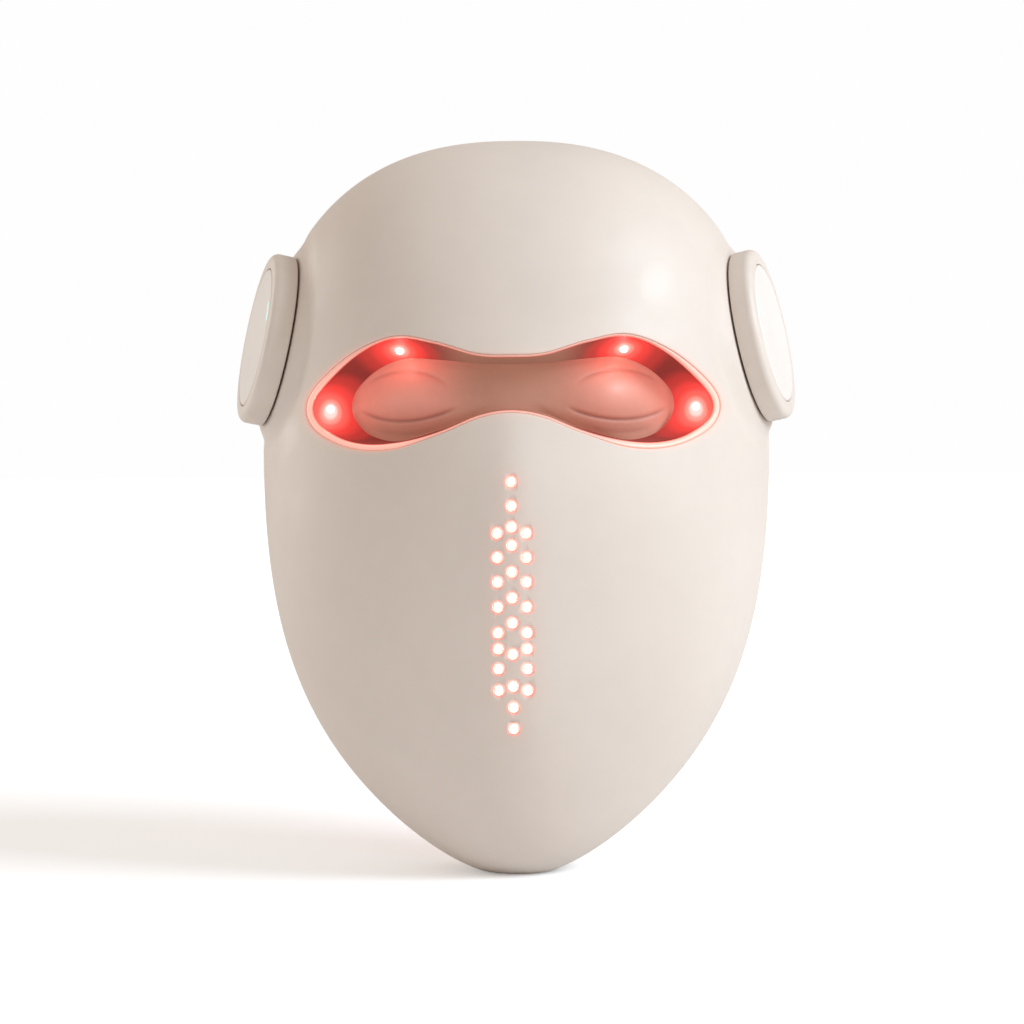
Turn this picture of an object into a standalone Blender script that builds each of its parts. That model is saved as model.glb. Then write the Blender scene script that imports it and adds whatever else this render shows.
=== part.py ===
"""LED face mask: rigid shell, lit eye opening, nose lights and two swivelling temple pods.

Frame: +Z up, the face looks along -Y, +X is the viewer's right. The mask stands on its chin at z = 0.
The heights below are drawn from a datum FRAME_DROP under the chin, and main() lowers every piece by it.
All lengths are in metres and all angles in degrees unless a name says otherwise.
"""
import math

import bmesh
import bpy
import numpy as np
from mathutils import Matrix, Vector

# ---------------------------------------------------------------- driving dimensions
GAP = 0.0003                    # running gap between neighbouring pieces
FRAME_DROP = 0.0046             # height of the resting plane above the drawing datum

# Outline seen from the front: one superellipse above the widest height and one below it.
HALF_WIDTH = 0.0812
WIDEST_HEIGHT = 0.1430
TOP_HEIGHT = 0.2296
CHIN_FLAT_CUT = 0.0016          # how much of the round chin the resting flat takes away
UPPER_POWER = 2.40
LOWER_POWER = 2.23
JAW_NARROWING = 0.326
JAW_POWER = 5.05

# Depth: the dome's pole, and the depth of the widest line at the side, the top and the chin.
FRAME_SHIFT = 0.0137            # brings the middle of the depth to y = 0
POLE_HEIGHT = 0.1530
POLE_DEPTH = -0.0640 + FRAME_SHIFT
SIDE_DEPTH = 0.0280 + FRAME_SHIFT
TOP_DEPTH = 0.0030 + FRAME_SHIFT
CHIN_DEPTH = -0.0190 + FRAME_SHIFT
DOME_POWER = 2.2
SKIRT_SIDE = 0.0170             # how far the sides run on behind the widest line
SKIRT_TOP = 0.0060
SKIRT_PULL = 0.025              # share of the radius that the skirt draws in
SHELL_WALL = 0.0025

# Nose ridge: a soft crest down the centre line, highest under the eye opening.
RIDGE_HEIGHT = 0.0090
RIDGE_REACH = 0.0280

# Eye opening, right half from the bottom centre round to the top centre (x, z).
EYE_OUTLINE = (
    (0.0, 0.1446), (0.0090, 0.1432), (0.0200, 0.1388), (0.0340, 0.1344), (0.0470, 0.1346),
    (0.0580, 0.1394), (0.0618, 0.1460), (0.0585, 0.1532), (0.0470, 0.1624), (0.0340, 0.1672),
    (0.0220, 0.1654), (0.0100, 0.1618), (0.0, 0.1612),
)
# Inner edge of the red funnel, point for point behind the opening.
FUNNEL_OUTLINE = (
    (0.0, 0.1458), (0.0090, 0.1446), (0.0195, 0.1404), (0.0330, 0.1366), (0.0420, 0.1382),
    (0.0468, 0.1425), (0.0482, 0.1470), (0.0465, 0.1520), (0.0405, 0.1575), (0.0320, 0.1608),
    (0.0215, 0.1604), (0.0100, 0.1592), (0.0, 0.1588),
)
RIM_WIDTH = 0.0020
RIM_DEPTH = 0.0060
RIM_STEP = 0.0004               # how far the lip sits below the shell's skin at its outer edge
BEZEL_EDGE = 0.0009             # how far inside the opening the funnel starts, behind the lip
BEZEL_WALL = 0.0010
FUNNEL_POWER = 0.6              # the funnel goes straight back first, then turns inwards
BEZEL_DEPTH = 0.0150            # how far the funnel runs back from the lip
EYE_LIGHTS = ((0.0330, 0.1632, 0.0110), (0.0547, 0.1462, 0.0115))   # x, z, depth behind the skin
EYE_LIGHT_RADIUS = 0.0011
EYE_LIGHT_LENGTH = 0.0030
SEAT_CUT = 0.0250               # depth of the eye light hole cutters
EYE_CENTRE_X = 0.0315           # half of an average 63 mm pupil distance
EYE_CENTRE_Z = 0.1500
SHIELD_WALL = 0.0020
SHIELD_DEPTH = 0.0171           # from the skin back to the shield, round the lids
SHIELD_FLANGE = 0.0035          # how far the shield laps over the panel round the opening
LID_DOME = (0.0170, 0.0120, 0.0085)     # half width, half height and rise of each closed-lid dome

# Nose lights: heights of the centre column and of the two side columns.
LIGHT_HEIGHTS_CENTRE = (
    0.1250, 0.1180, 0.1120, 0.1067, 0.0990, 0.0915, 0.0842, 0.0750, 0.0655, 0.0592, 0.0527,
)
LIGHT_HEIGHTS_SIDE = (0.1102, 0.1032, 0.0961, 0.0888, 0.0813, 0.0766, 0.0707, 0.0643)
LIGHT_COLUMN_X = 0.00425
LIGHT_HOLE_RADIUS = 0.0014
LIGHT_BEAD_RADIUS = 0.0010
LIGHT_CUT = 0.0060              # half length of the light hole cutters
NOSE_STRIP = (0.0068, 0.0480, 0.1290)   # half width, lower and upper end of the lens strip and board
LENS_INSETS = (0.0042, 0.0050)
NOSE_BOARD_INSETS = (0.0057, 0.0064)
BEAD_SPAN = (-0.0047, -0.0003)  # from inside the strip to just under the skin

# Layers, as insets from the outer skin.
BOARD_INSET = 0.0050
BOARD_WALL = 0.0008
CABLE_WALL = 0.0005
PANEL_INSET = 0.0090
PANEL_WALL = 0.0020
PANEL_EDGE = 0.0008             # how far the panel keeps back from the eye opening
FACET_ROOM = 0.0022             # room for the flat facets of two curved layers
PAD_INSET = PANEL_INSET + PANEL_WALL + FACET_ROOM
PAD_DEPTH = 0.0070
PAD_CROWN = 0.0030              # how much thinner a pad's edge is than its middle

# Temple pods. The pod frame has its origin on the collar plane and its +Z along the pod's axis.
POD_CENTRE = (0.0735, -0.0030 + FRAME_SHIFT, 0.1676)
POD_UP_TILT = 11.6
POD_FORWARD_TILT = 15.0
POD_RADIUS = 0.0268
POD_LIFT = 0.0006               # dark running gap between collar and pod
POD_HEIGHT = 0.0077
POD_WALL = 0.0018
BASE_WALL = 0.0012
POD_EDGE_RADIUS = 0.0023
COLLAR_INNER = 0.0281
COLLAR_OUTER = 0.0350
BUTTON_RADIUS = 0.0216
HUB_RADIUS = 0.0050
HUB_BORE = 0.0032
HUB_CUT = 0.0100                # half length of the hub hole cutters
HUB_END = -0.0050
WASHER_RADIUS = 0.0085
WASHER_WALL = 0.0006
CLIP_RADIUS = 0.0080
CLIP_WALL = 0.0008
POD_BOARD_RADIUS = 0.0195
POD_BOARD_WALL = 0.0008
BATTERY_SIZE = (0.0280, 0.0200, 0.0020)
BATTERY_Y = -0.0035
SWITCH_SIZE = (0.0060, 0.0060, 0.0022)
SWITCH_Y = 0.0125
COVER_WALL = 0.0011
COVER_SIDE_WALL = 0.0015
COVER_STEP = 0.0001             # how far the cover stands above the ring
COVER_LAP = 0.0024              # how far the cover's hidden flange runs on behind the ring
COVER_FLANGE_WALL = 0.0012
RING_FLANGE_WALL = 0.0015
BORE_END = 0.0060
INDICATOR_WIDTH = 0.0012
INDICATOR_RADIUS = 0.0186
INDICATOR_PLACE = 66.0          # turn from the top of the cover towards the face
INDICATOR_TURN = 9.6            # half length of the bar, as a turn
CONTACT_HEIGHT = 0.0034
CONTACT_RADIUS = 0.0010
LOOP_SLOT = (0.0220, 0.0065)    # strap slot height and width
LOOP_BAR = 0.0035
LOOP_SPAN = (0.0024, 0.0052)    # from its inner to its outer face, above the collar

# Bosses and screws: polar angle round the pole, and place along the dome's arc.
SCREW_PLACES = ((50, 0.90), (130, 0.90), (-28, 0.90), (208, 0.90), (-66, 0.86), (246, 0.86))
SCREW_RADIUS = 0.0010
SCREW_HEAD_RADIUS = 0.0020
SCREW_HEAD = 0.0014             # height of the head
BOSS_RADIUS = 0.0030
BOSS_LENGTH = 0.0065            # from the skin to the boss's inner end

ROUND_STEPS = 48                # points round the face
CHIN_TURNS = (-4.0, -2.0, 2.0, 4.0)     # more points where the chin is flat, from straight down
CHIN_ARC = 0.955                # one more ring of points for the chin's flat
POD_STEPS = 24                  # points round the pods

SHELL_RINGS = 9                 # rings of points from the eye opening to the widest line
PANEL_RINGS = 6

SMOOTH_ANGLE = math.radians(35)
FORWARD = Vector((0.0, -1.0, 0.0))      # the way the mask looks


# ---------------------------------------------------------------- outline and skin of the face
def outline_table():
    """Polar angle and radius of the outline about the dome's pole."""
    turn = np.linspace(0.0, 2.0 * math.pi, 4001)
    cos, sin = np.cos(turn), np.sin(turn)
    power = np.where(sin >= 0, UPPER_POWER, LOWER_POWER)
    lower_half = WIDEST_HEIGHT - FRAME_DROP + CHIN_FLAT_CUT
    half_height = np.where(sin >= 0, TOP_HEIGHT - WIDEST_HEIGHT, lower_half)
    rise = np.abs(sin) ** (2.0 / power)
    x = HALF_WIDTH * np.sign(cos) * np.abs(cos) ** (2.0 / power)
    x = np.where(sin < 0, x * (1.0 - JAW_NARROWING * rise ** JAW_POWER), x)
    z = WIDEST_HEIGHT + np.sign(sin) * half_height * rise - POLE_HEIGHT
    angle = np.mod(np.arctan2(z, x), 2.0 * math.pi)
    order = np.argsort(angle)
    return angle[order], np.hypot(x, z)[order]


def smooth_loop(half):
    """Smooth closed curve through a mirrored half outline, as (x, z) points."""
    loop = list(half) + [(-x, z) for x, z in reversed(half[1:-1])]
    count = len(loop)
    points = []
    for index in range(count):
        p0, p1, p2, p3 = (np.array(loop[(index + k) % count]) for k in (-1, 0, 1, 2))
        for step in np.linspace(0.0, 1.0, 24, endpoint=False):
            a = 2.0 * p1 + (p2 - p0) * step
            b = (2.0 * p0 - 5.0 * p1 + 4.0 * p2 - p3) * step ** 2
            c = (3.0 * p1 - p0 - 3.0 * p2 + p3) * step ** 3
            points.append(0.5 * (a + b + c))
    return np.array(points)


def eye_table():
    """Polar angle of the eye opening's points about the pole, with the points of both eye curves."""
    edge, funnel = smooth_loop(EYE_OUTLINE), smooth_loop(FUNNEL_OUTLINE)
    rise = edge[:, 1] - POLE_HEIGHT
    angle = np.mod(np.arctan2(rise, edge[:, 0]), 2.0 * math.pi)
    order = np.argsort(angle)
    return angle[order], np.hypot(edge[:, 0], rise)[order], edge[order], funnel[order]


OUTLINE = outline_table()
EYE = eye_table()


def eye_curve(points, phi):
    """Point of the eye opening (EYE[2]) or of the funnel's inner edge (EYE[3]) at a polar angle."""
    turn = phi % (2.0 * math.pi)
    full = 2.0 * math.pi
    return Vector((
        float(np.interp(turn, EYE[0], points[:, 0], period=full)),
        float(np.interp(turn, EYE[0], points[:, 1], period=full)),
    ))


def polar(table, phi):
    return float(np.interp(phi % (2.0 * math.pi), table[0], table[1], period=2.0 * math.pi))


def ridge(x, z):
    """How far the nose ridge lifts the skin forward."""
    heights = (0.0, 0.030, 0.060, 0.125, 0.150, 0.172)
    share = float(np.interp(z, heights, (0.11, 0.28, 0.67, 1.0, 0.6, 0.0)))
    roundness = float(np.interp(z, (0.0, 0.060, 0.140), (0.016, 0.012, 0.007)))
    across = math.hypot(x, roundness) - roundness
    return RIDGE_HEIGHT * share * math.exp(-across / RIDGE_REACH)


def widest_depth(phi):
    rise = math.sin(phi)
    end = TOP_DEPTH if rise > 0 else CHIN_DEPTH
    return SIDE_DEPTH + (end - SIDE_DEPTH) * rise * rise


def skin(phi, arc, inset=0.0):
    """Point on the skin: arc 0 is the pole, 1 the widest line and 2 the rear edge."""
    radius = polar(OUTLINE, phi) - inset
    middle = widest_depth(phi)
    if arc <= 1.0:
        share = math.sin(arc * math.pi / 2.0)
        dome = max(0.0, 1.0 - share ** DOME_POWER) ** (1.0 / DOME_POWER)
        depth = middle - (middle - POLE_DEPTH - inset) * dome
    else:
        back = arc - 1.0
        share = 1.0 - SKIRT_PULL * back * back
        reach = SKIRT_SIDE + (SKIRT_TOP - SKIRT_SIDE) * max(0.0, math.sin(phi)) ** 2
        depth = middle + back * reach
    x = share * radius * math.cos(phi)
    z = POLE_HEIGHT + share * radius * math.sin(phi)
    return Vector((x, depth - ridge(x, z), max(z, FRAME_DROP + inset)))


def arc_at(phi, radius, inset=0.0):
    """Arc value whose distance from the pole, seen from the front, is the given radius."""
    share = min(1.0, radius / (polar(OUTLINE, phi) - inset))
    return math.asin(share) * 2.0 / math.pi


def skin_at(x, z, inset=0.0):
    """Skin point straight behind the given front-view position."""
    phi = math.atan2(z - POLE_HEIGHT, x)
    return skin(phi, arc_at(phi, math.hypot(x, z - POLE_HEIGHT), inset), inset)


def skin_normal(phi, arc):
    """Outward direction of the skin, from neighbouring points."""
    step = 0.01
    across = skin(phi + step, arc) - skin(phi - step, arc)
    along = skin(phi, arc + step) - skin(phi, arc - step)
    normal = across.cross(along).normalized()
    middle = Vector((0.0, SIDE_DEPTH, POLE_HEIGHT))
    return normal if normal.dot(skin(phi, arc) - middle) > 0 else -normal


def pod_frame(side):
    """Matrix of the pod frame: local Z points out, local Y points up, local X completes it."""
    up, forward = math.radians(POD_UP_TILT), math.radians(POD_FORWARD_TILT)
    level = math.cos(up)
    out = Vector((side * level * math.cos(forward), -level * math.sin(forward), math.sin(up)))
    local_y = (Vector((0.0, 0.0, 1.0)) - out * out.z).normalized()
    local_x = local_y.cross(out)
    frame = Matrix((local_x, local_y, out)).transposed().to_4x4()
    frame.translation = Vector((side * POD_CENTRE[0], POD_CENTRE[1], POD_CENTRE[2]))
    return frame


POD_FRAMES = {"left": pod_frame(-1), "right": pod_frame(1)}


def collared(point, inset):
    """Draw a shell point onto the flat collar under each pod, with a soft fillet round it."""
    for frame in POD_FRAMES.values():
        local = frame.inverted() @ point
        if abs(local.z) > COLLAR_OUTER:
            continue
        share = (math.hypot(local.x, local.y) - COLLAR_INNER) / (COLLAR_OUTER - COLLAR_INNER)
        share = min(1.0, max(0.0, share))
        keep = share * share * (3.0 - 2.0 * share)
        local.z = -inset + (local.z + inset) * keep
        point = frame @ local
    return point


def face_angles(count):
    """Polar angles that follow the arc length of the outline and of the eye opening equally."""
    phi = np.linspace(-0.5 * math.pi, 1.5 * math.pi, 2881)
    travelled = np.zeros(len(phi))
    for table in (OUTLINE, EYE):
        radius = np.interp(phi, table[0], table[1], period=2.0 * math.pi)
        x, z = radius * np.cos(phi), radius * np.sin(phi)
        steps = np.hypot(np.diff(x), np.diff(z))
        length = np.concatenate(((0.0,), np.cumsum(steps)))
        travelled += length / length[-1]
    spread = np.interp(np.linspace(0.0, 2.0, count, endpoint=False), travelled, phi)
    chin = np.mod(np.radians(CHIN_TURNS), 2.0 * math.pi) - 0.5 * math.pi
    return np.sort(np.concatenate((spread, chin)))


FACE_ANGLES = face_angles(ROUND_STEPS)


# ---------------------------------------------------------------- mesh helpers
def material(name, colour, roughness, metallic=0.0, alpha=1.0, glow=0.0):
    made = bpy.data.materials.get(name)
    if made:
        return made
    made = bpy.data.materials.new(name)
    made.use_nodes = True
    shader = made.node_tree.nodes["Principled BSDF"]
    shader.inputs["Base Color"].default_value = (*colour, 1.0)
    shader.inputs["Roughness"].default_value = roughness
    shader.inputs["Metallic"].default_value = metallic
    shader.inputs["Alpha"].default_value = alpha
    shader.inputs["Emission Color"].default_value = (*colour, 1.0)
    shader.inputs["Emission Strength"].default_value = glow
    return made


def oat_plastic():
    return material("oat_plastic", (0.69, 0.60, 0.52), 0.55)


def clear_pink():
    return material("clear_pink", (0.98, 0.55, 0.48), 0.35, glow=0.6)


def lit_red():
    return material("lit_red", (0.75, 0.10, 0.08), 0.40, glow=0.3)


def soft_silicone():
    return material("soft_silicone", (0.72, 0.47, 0.40), 0.60)


def frosted_panel():
    return material("frosted_panel", (0.86, 0.84, 0.82), 0.40)


def board_white():
    return material("board_white", (0.80, 0.80, 0.78), 0.50)


def seal_grey():
    return material("seal_grey", (0.45, 0.42, 0.40), 0.70)


def steel():
    return material("steel", (0.62, 0.62, 0.63), 0.30, metallic=1.0)


def white_light():
    return material("white_light", (1.0, 0.90, 0.88), 0.30, glow=4.0)


def teal_light():
    return material("teal_light", (0.35, 0.85, 0.75), 0.30, glow=0.8)


def dark_board():
    return material("dark_board", (0.05, 0.16, 0.10), 0.50)


def foil_cell():
    return material("foil_cell", (0.55, 0.56, 0.58), 0.35, metallic=0.6)


def gold():
    return material("gold", (0.83, 0.62, 0.28), 0.30, metallic=1.0)


def add_object(name, mesh, made_of, parent=None):
    """Wrap a mesh in an object with its outside facing out."""
    work = bmesh.new()
    work.from_mesh(mesh)
    bmesh.ops.remove_doubles(work, verts=work.verts, dist=1e-7)
    bmesh.ops.recalc_face_normals(work, faces=work.faces)
    work.to_mesh(mesh)
    work.free()
    mesh.shade_smooth()
    mesh.set_sharp_from_angle(angle=SMOOTH_ANGLE)
    mesh.materials.append(made_of)
    thing = bpy.data.objects.new(name, mesh)
    bpy.context.scene.collection.objects.link(thing)
    if parent:
        thing.parent = parent
    return thing


def mesh_from(name, points, faces):
    mesh = bpy.data.meshes.new(name)
    mesh.from_pydata([tuple(p) for p in points], [], faces)
    mesh.update()
    return mesh


def looped(name, rows, made_of, parent=None):
    """Closed ring: each row is one section, and the last row joins the first."""
    count, size = len(rows), len(rows[0])
    points = [point for row in rows for point in row]
    faces = []
    for i in range(count):
        for j in range(size):
            a, b = i * size + j, i * size + (j + 1) % size
            c, d = ((i + 1) % count) * size + (j + 1) % size, ((i + 1) % count) * size + j
            faces.append((a, b, c, d))
    return add_object(name, mesh_from(name, points, faces), made_of, parent)


def slab(name, front, back, made_of, parent=None):
    """Closed sheet between two grids of points with the same layout."""
    rows, size = len(front), len(front[0])
    points = [p for row in front for p in row] + [p for row in back for p in row]
    shift = rows * size
    faces = []
    for i in range(rows - 1):
        for j in range(size - 1):
            a = i * size + j
            faces.append((a, a + 1, a + size + 1, a + size))
            faces.append((a + shift, a + size + shift, a + size + 1 + shift, a + 1 + shift))
    edge = [j for j in range(size)]
    edge += [i * size + size - 1 for i in range(1, rows)]
    edge += [(rows - 1) * size + j for j in range(size - 2, -1, -1)]
    edge += [i * size for i in range(rows - 2, 0, -1)]
    for here, after in zip(edge, edge[1:] + edge[:1]):
        faces.append((here, here + shift, after + shift, after))
    return add_object(name, mesh_from(name, points, faces), made_of, parent)


def turned(name, profile, made_of, parent=None, steps=POD_STEPS, close=True):
    """Solid of revolution about local Z. A closed profile is a ring, an open one starts on the axis."""
    rows = []
    for index in range(steps):
        turn = 2.0 * math.pi * index / steps
        rows.append([Vector((r * math.cos(turn), r * math.sin(turn), z)) for r, z in profile])
    if close:
        return looped(name, rows, made_of, parent)
    size = len(profile)
    points = [point for row in rows for point in row[1:-1]]
    inner = size - 2
    start, end = len(points), len(points) + 1
    points += [rows[0][0], rows[0][-1]]
    faces = []
    for i in range(steps):
        k = (i + 1) % steps
        faces.append((start, i * inner, k * inner))
        faces.append((end, k * inner + inner - 1, i * inner + inner - 1))
        for j in range(inner - 1):
            faces.append((i * inner + j, i * inner + j + 1, k * inner + j + 1, k * inner + j))
    return add_object(name, mesh_from(name, points, faces), made_of, parent)


def rod(name, radius, low, high, made_of, parent=None, steps=12):
    """Plain cylinder along local Z."""
    profile = ((0.0, low), (radius, low), (radius, high), (0.0, high))
    return turned(name, profile, made_of, parent, steps, close=False)


def block(name, size, centre, made_of, parent=None):
    """Rectangular block, placed by its centre."""
    work = bmesh.new()
    bmesh.ops.create_cube(work, size=1.0)
    bmesh.ops.scale(work, vec=Vector(size), verts=work.verts)
    bmesh.ops.translate(work, vec=Vector(centre), verts=work.verts)
    mesh = bpy.data.meshes.new(name)
    work.to_mesh(mesh)
    work.free()
    return add_object(name, mesh, made_of, parent)


def aim(origin, direction):
    """Matrix whose Z points along a direction."""
    turned_to = direction.to_track_quat("Z", "Y").to_matrix().to_4x4()
    turned_to.translation = origin
    return turned_to


def as_tool(thing):
    """Hide a cutter or an added shape, which isn't a piece of its own."""
    thing.hide_render = True
    thing.display_type = "WIRE"
    return thing


def boolean(thing, tool, operation):
    """Join or cut with another object, which becomes a hidden tool."""
    as_tool(tool)
    step = thing.modifiers.new(tool.name, "BOOLEAN")
    step.operation = operation
    step.object = tool
    step.solver = "EXACT"


def boolean_many(thing, tools, operation, label):
    """Join or cut with several shapes that stay clear of each other, gathered in one hidden object."""
    merged = bmesh.new()
    for tool in tools:
        copy = tool.data.copy()
        copy.transform(tool.matrix_basis)
        merged.from_mesh(copy)
        bpy.data.objects.remove(tool)
    mesh = bpy.data.meshes.new(label)
    merged.to_mesh(mesh)
    merged.free()
    gathered = bpy.data.objects.new(label, mesh)
    bpy.context.scene.collection.objects.link(gathered)
    boolean(thing, gathered, operation)


# ---------------------------------------------------------------- shell and what is fixed in it
def opening_arcs(phi, edge, count, last, inset):
    """Arc values from the eye opening's edge to the widest line and on to the rear."""
    first = arc_at(phi, polar(EYE, phi) + edge, inset)
    front = [first + (1.0 - first) * i / count for i in range(count)] + [CHIN_ARC, 1.0]
    skirt = max(1, math.ceil((last - 1.0) / 0.5))
    return front + [1.0 + (last - 1.0) * (i + 1) / skirt for i in range(skirt)]


def wall_rows(edge, count, last, outer, inner, shape):
    """One section of a wall for each face angle, out along the front and back along the rear."""
    rows = []
    for phi in FACE_ANGLES:
        out_arcs = opening_arcs(phi, edge, count, last, outer)
        back_arcs = opening_arcs(phi, edge, count, last, inner)
        out = [shape(skin(phi, arc, outer), outer) for arc in out_arcs]
        back = [shape(skin(phi, arc, inner), inner) for arc in back_arcs]
        rows.append(out + back[::-1])
    return rows


def plain(point, inset):
    return point


def light_places():
    places = [(0.0, z) for z in LIGHT_HEIGHTS_CENTRE]
    for side in (-1, 1):
        places += [(side * LIGHT_COLUMN_X, z) for z in LIGHT_HEIGHTS_SIDE]
    return places


def screw_frame(place):
    """Matrix of a screw: its Z points out through the shell and its origin is on the skin."""
    phi = math.radians(place[0])
    return aim(skin(phi, place[1]), skin_normal(phi, place[1]))


def placed(tool, frame):
    tool.matrix_basis = frame
    return tool


def make_shell():
    made_of = oat_plastic()
    rows = wall_rows(0.0, SHELL_RINGS, 2.0, 0.0, SHELL_WALL, collared)
    shell = looped("outer_shell", rows, made_of)
    holes = []
    for x, z in light_places():
        hole = rod("light_hole", LIGHT_HOLE_RADIUS, -LIGHT_CUT, LIGHT_CUT, made_of, steps=6)
        holes.append(placed(hole, aim(skin_at(x, z), FORWARD)))
    boolean_many(shell, holes, "DIFFERENCE", "light_hole_tools")
    hubs = []
    for frame in POD_FRAMES.values():
        hub = rod("hub_hole", HUB_RADIUS + GAP, -HUB_CUT, HUB_CUT, made_of, steps=16)
        hubs.append(placed(hub, frame))
    boolean_many(shell, hubs, "DIFFERENCE", "hub_hole_tools")
    bosses = []
    pilots = []
    for place in SCREW_PLACES:
        frame = screw_frame(place)
        boss = rod("boss", BOSS_RADIUS, -BOSS_LENGTH, -SHELL_WALL / 2, made_of, steps=10)
        bosses.append(placed(boss, frame))
        pilot = rod("pilot", SCREW_RADIUS + GAP, -2 * BOSS_LENGTH, -SHELL_WALL, made_of, steps=8)
        pilots.append(placed(pilot, frame))
    boolean_many(shell, bosses, "UNION", "boss_tools")
    boolean_many(shell, pilots, "DIFFERENCE", "pilot_tools")


def eye_edge(phi, inward):
    """Front-view point a given way inside the opening, square to its edge."""
    step = 0.01
    along = eye_curve(EYE[2], phi + step) - eye_curve(EYE[2], phi - step)
    return eye_curve(EYE[2], phi) + Vector((-along.y, along.x)).normalized() * inward


def behind_skin(place, behind):
    return skin_at(place.x, place.y) + Vector((0.0, behind, 0.0))


def make_eye_rim():
    rows = []
    for phi in FACE_ANGLES:
        rows.append([
            behind_skin(eye_edge(phi, GAP), RIM_STEP),
            behind_skin(eye_edge(phi, GAP), RIM_DEPTH),
            behind_skin(eye_edge(phi, RIM_WIDTH), RIM_DEPTH),
            behind_skin(eye_edge(phi, RIM_WIDTH), 3 * RIM_STEP),
        ])
    looped("eye_rim", rows, clear_pink())


def funnel_section(phi):
    """Section of the funnel: a concave front and a back set off square to it by the wall."""
    outer, inner = eye_edge(phi, BEZEL_EDGE), eye_curve(EYE[3], phi)
    outward = (eye_edge(phi, 0.0) - outer).normalized()
    width, depth = (inner - outer).length, BEZEL_DEPTH - RIM_DEPTH
    front, back = [], []
    for share in (0.0, 0.2, 0.45, 0.72, 1.0):
        place = outer.lerp(inner, share)
        behind = RIM_DEPTH + GAP + depth * share ** FUNNEL_POWER
        slope = depth * FUNNEL_POWER * max(share, 0.05) ** (FUNNEL_POWER - 1.0)
        wall = Vector((slope, width)).normalized() * BEZEL_WALL
        front.append(behind_skin(place, behind))
        back.append(behind_skin(place + outward * wall.x, behind + wall.y))
    return front + back[::-1]


def make_eye_bezel():
    rows = [funnel_section(phi) for phi in FACE_ANGLES]
    made_of = lit_red()
    bezel = looped("eye_bezel", rows, made_of)
    holes = []
    for sign in (-1, 1):
        for x, z, _ in EYE_LIGHTS:
            hole = rod("seat_hole", EYE_LIGHT_RADIUS + GAP, -SEAT_CUT, 0.0, made_of, steps=10)
            holes.append(placed(hole, aim(skin_at(sign * x, z), FORWARD)))
    boolean_many(bezel, holes, "DIFFERENCE", "eye_light_hole_tools")


def make_eye_lights():
    """Dome-topped light on each of the four bezel seats."""
    r = EYE_LIGHT_RADIUS
    turns = [math.radians(angle) for angle in (0, 35, 65)]
    dome = [(r * math.cos(turn), 0.8 * r * math.sin(turn)) for turn in turns]
    profile = [(0.0, -EYE_LIGHT_LENGTH), (r, -EYE_LIGHT_LENGTH)] + dome + [(0.0, 0.8 * r)]
    for side, sign in (("left", -1), ("right", 1)):
        for place, (x, z, behind) in zip(("upper", "outer"), EYE_LIGHTS):
            name = f"eye_led_{place}_{side}"
            light = turned(name, profile, white_light(), steps=10, close=False)
            light.location = skin_at(sign * x, z) + Vector((0.0, behind, 0.0))
            light.rotation_euler = (math.radians(90), 0.0, 0.0)


def lid_rise(x, z):
    """How far the closed-lid domes stand forward of the shield."""
    across = (abs(x) - EYE_CENTRE_X) / LID_DOME[0]
    up = (z - EYE_CENTRE_Z) / LID_DOME[1]
    return LID_DOME[2] * math.exp(-1.2 * (across * across + up * up))


def shield_point(phi, share, behind):
    """Point of the eye shield: share 0 is the pole, 1 the funnel's inner edge and 2 the flange's."""
    edge = eye_curve(EYE[3], phi)
    place = Vector((0.0, POLE_HEIGHT)).lerp(edge, min(share, 1.0))
    rise = lid_rise(place.x, place.y) * (1.0 - min(share, 1.0) ** 4)
    point = behind_skin(place, SHIELD_DEPTH - rise)
    if share > 1.0:
        lap = eye_edge(phi, -SHIELD_FLANGE)
        point = point.lerp(skin_at(lap.x, lap.y, PANEL_INSET + PANEL_WALL + FACET_ROOM), share - 1.0)
    return point + Vector((0.0, behind, 0.0))


def make_eye_shield():
    shares = (0.22, 0.42, 0.62, 0.82, 1.0, 1.5, 2.0)
    size = len(shares)
    count = len(FACE_ANGLES)
    points = []
    for behind in (0.0, SHIELD_WALL):
        for phi in FACE_ANGLES:
            points += [shield_point(phi, share, behind) for share in shares]
    points += [shield_point(0.0, 0.0, 0.0), shield_point(0.0, 0.0, SHIELD_WALL)]
    shift = count * size
    faces = []
    for i in range(count):
        here, after = i * size, (i + 1) % count * size
        faces.append((2 * shift, here, after))
        faces.append((2 * shift + 1, after + shift, here + shift))
        for j in range(size - 1):
            quad = (here + j, here + j + 1, after + j + 1, after + j)
            faces.append(quad)
            faces.append(tuple(index + shift for index in reversed(quad)))
        rim = size - 1
        faces.append((here + rim, here + rim + shift, after + rim + shift, after + rim))
    add_object("eye_shield", mesh_from("eye_shield", points, faces), soft_silicone())


def make_face_panel():
    made_of = frosted_panel()
    rows = wall_rows(PANEL_EDGE, PANEL_RINGS, 1.25, PANEL_INSET, PANEL_INSET + PANEL_WALL, plain)
    panel = looped("face_panel", rows, made_of)
    holes = []
    for place in SCREW_PLACES:
        hole = rod("panel_hole", SCREW_RADIUS + GAP, -2 * PANEL_INSET, -BOSS_LENGTH, made_of, steps=8)
        holes.append(placed(hole, screw_frame(place)))
    boolean_many(panel, holes, "DIFFERENCE", "panel_hole_tools")


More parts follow.
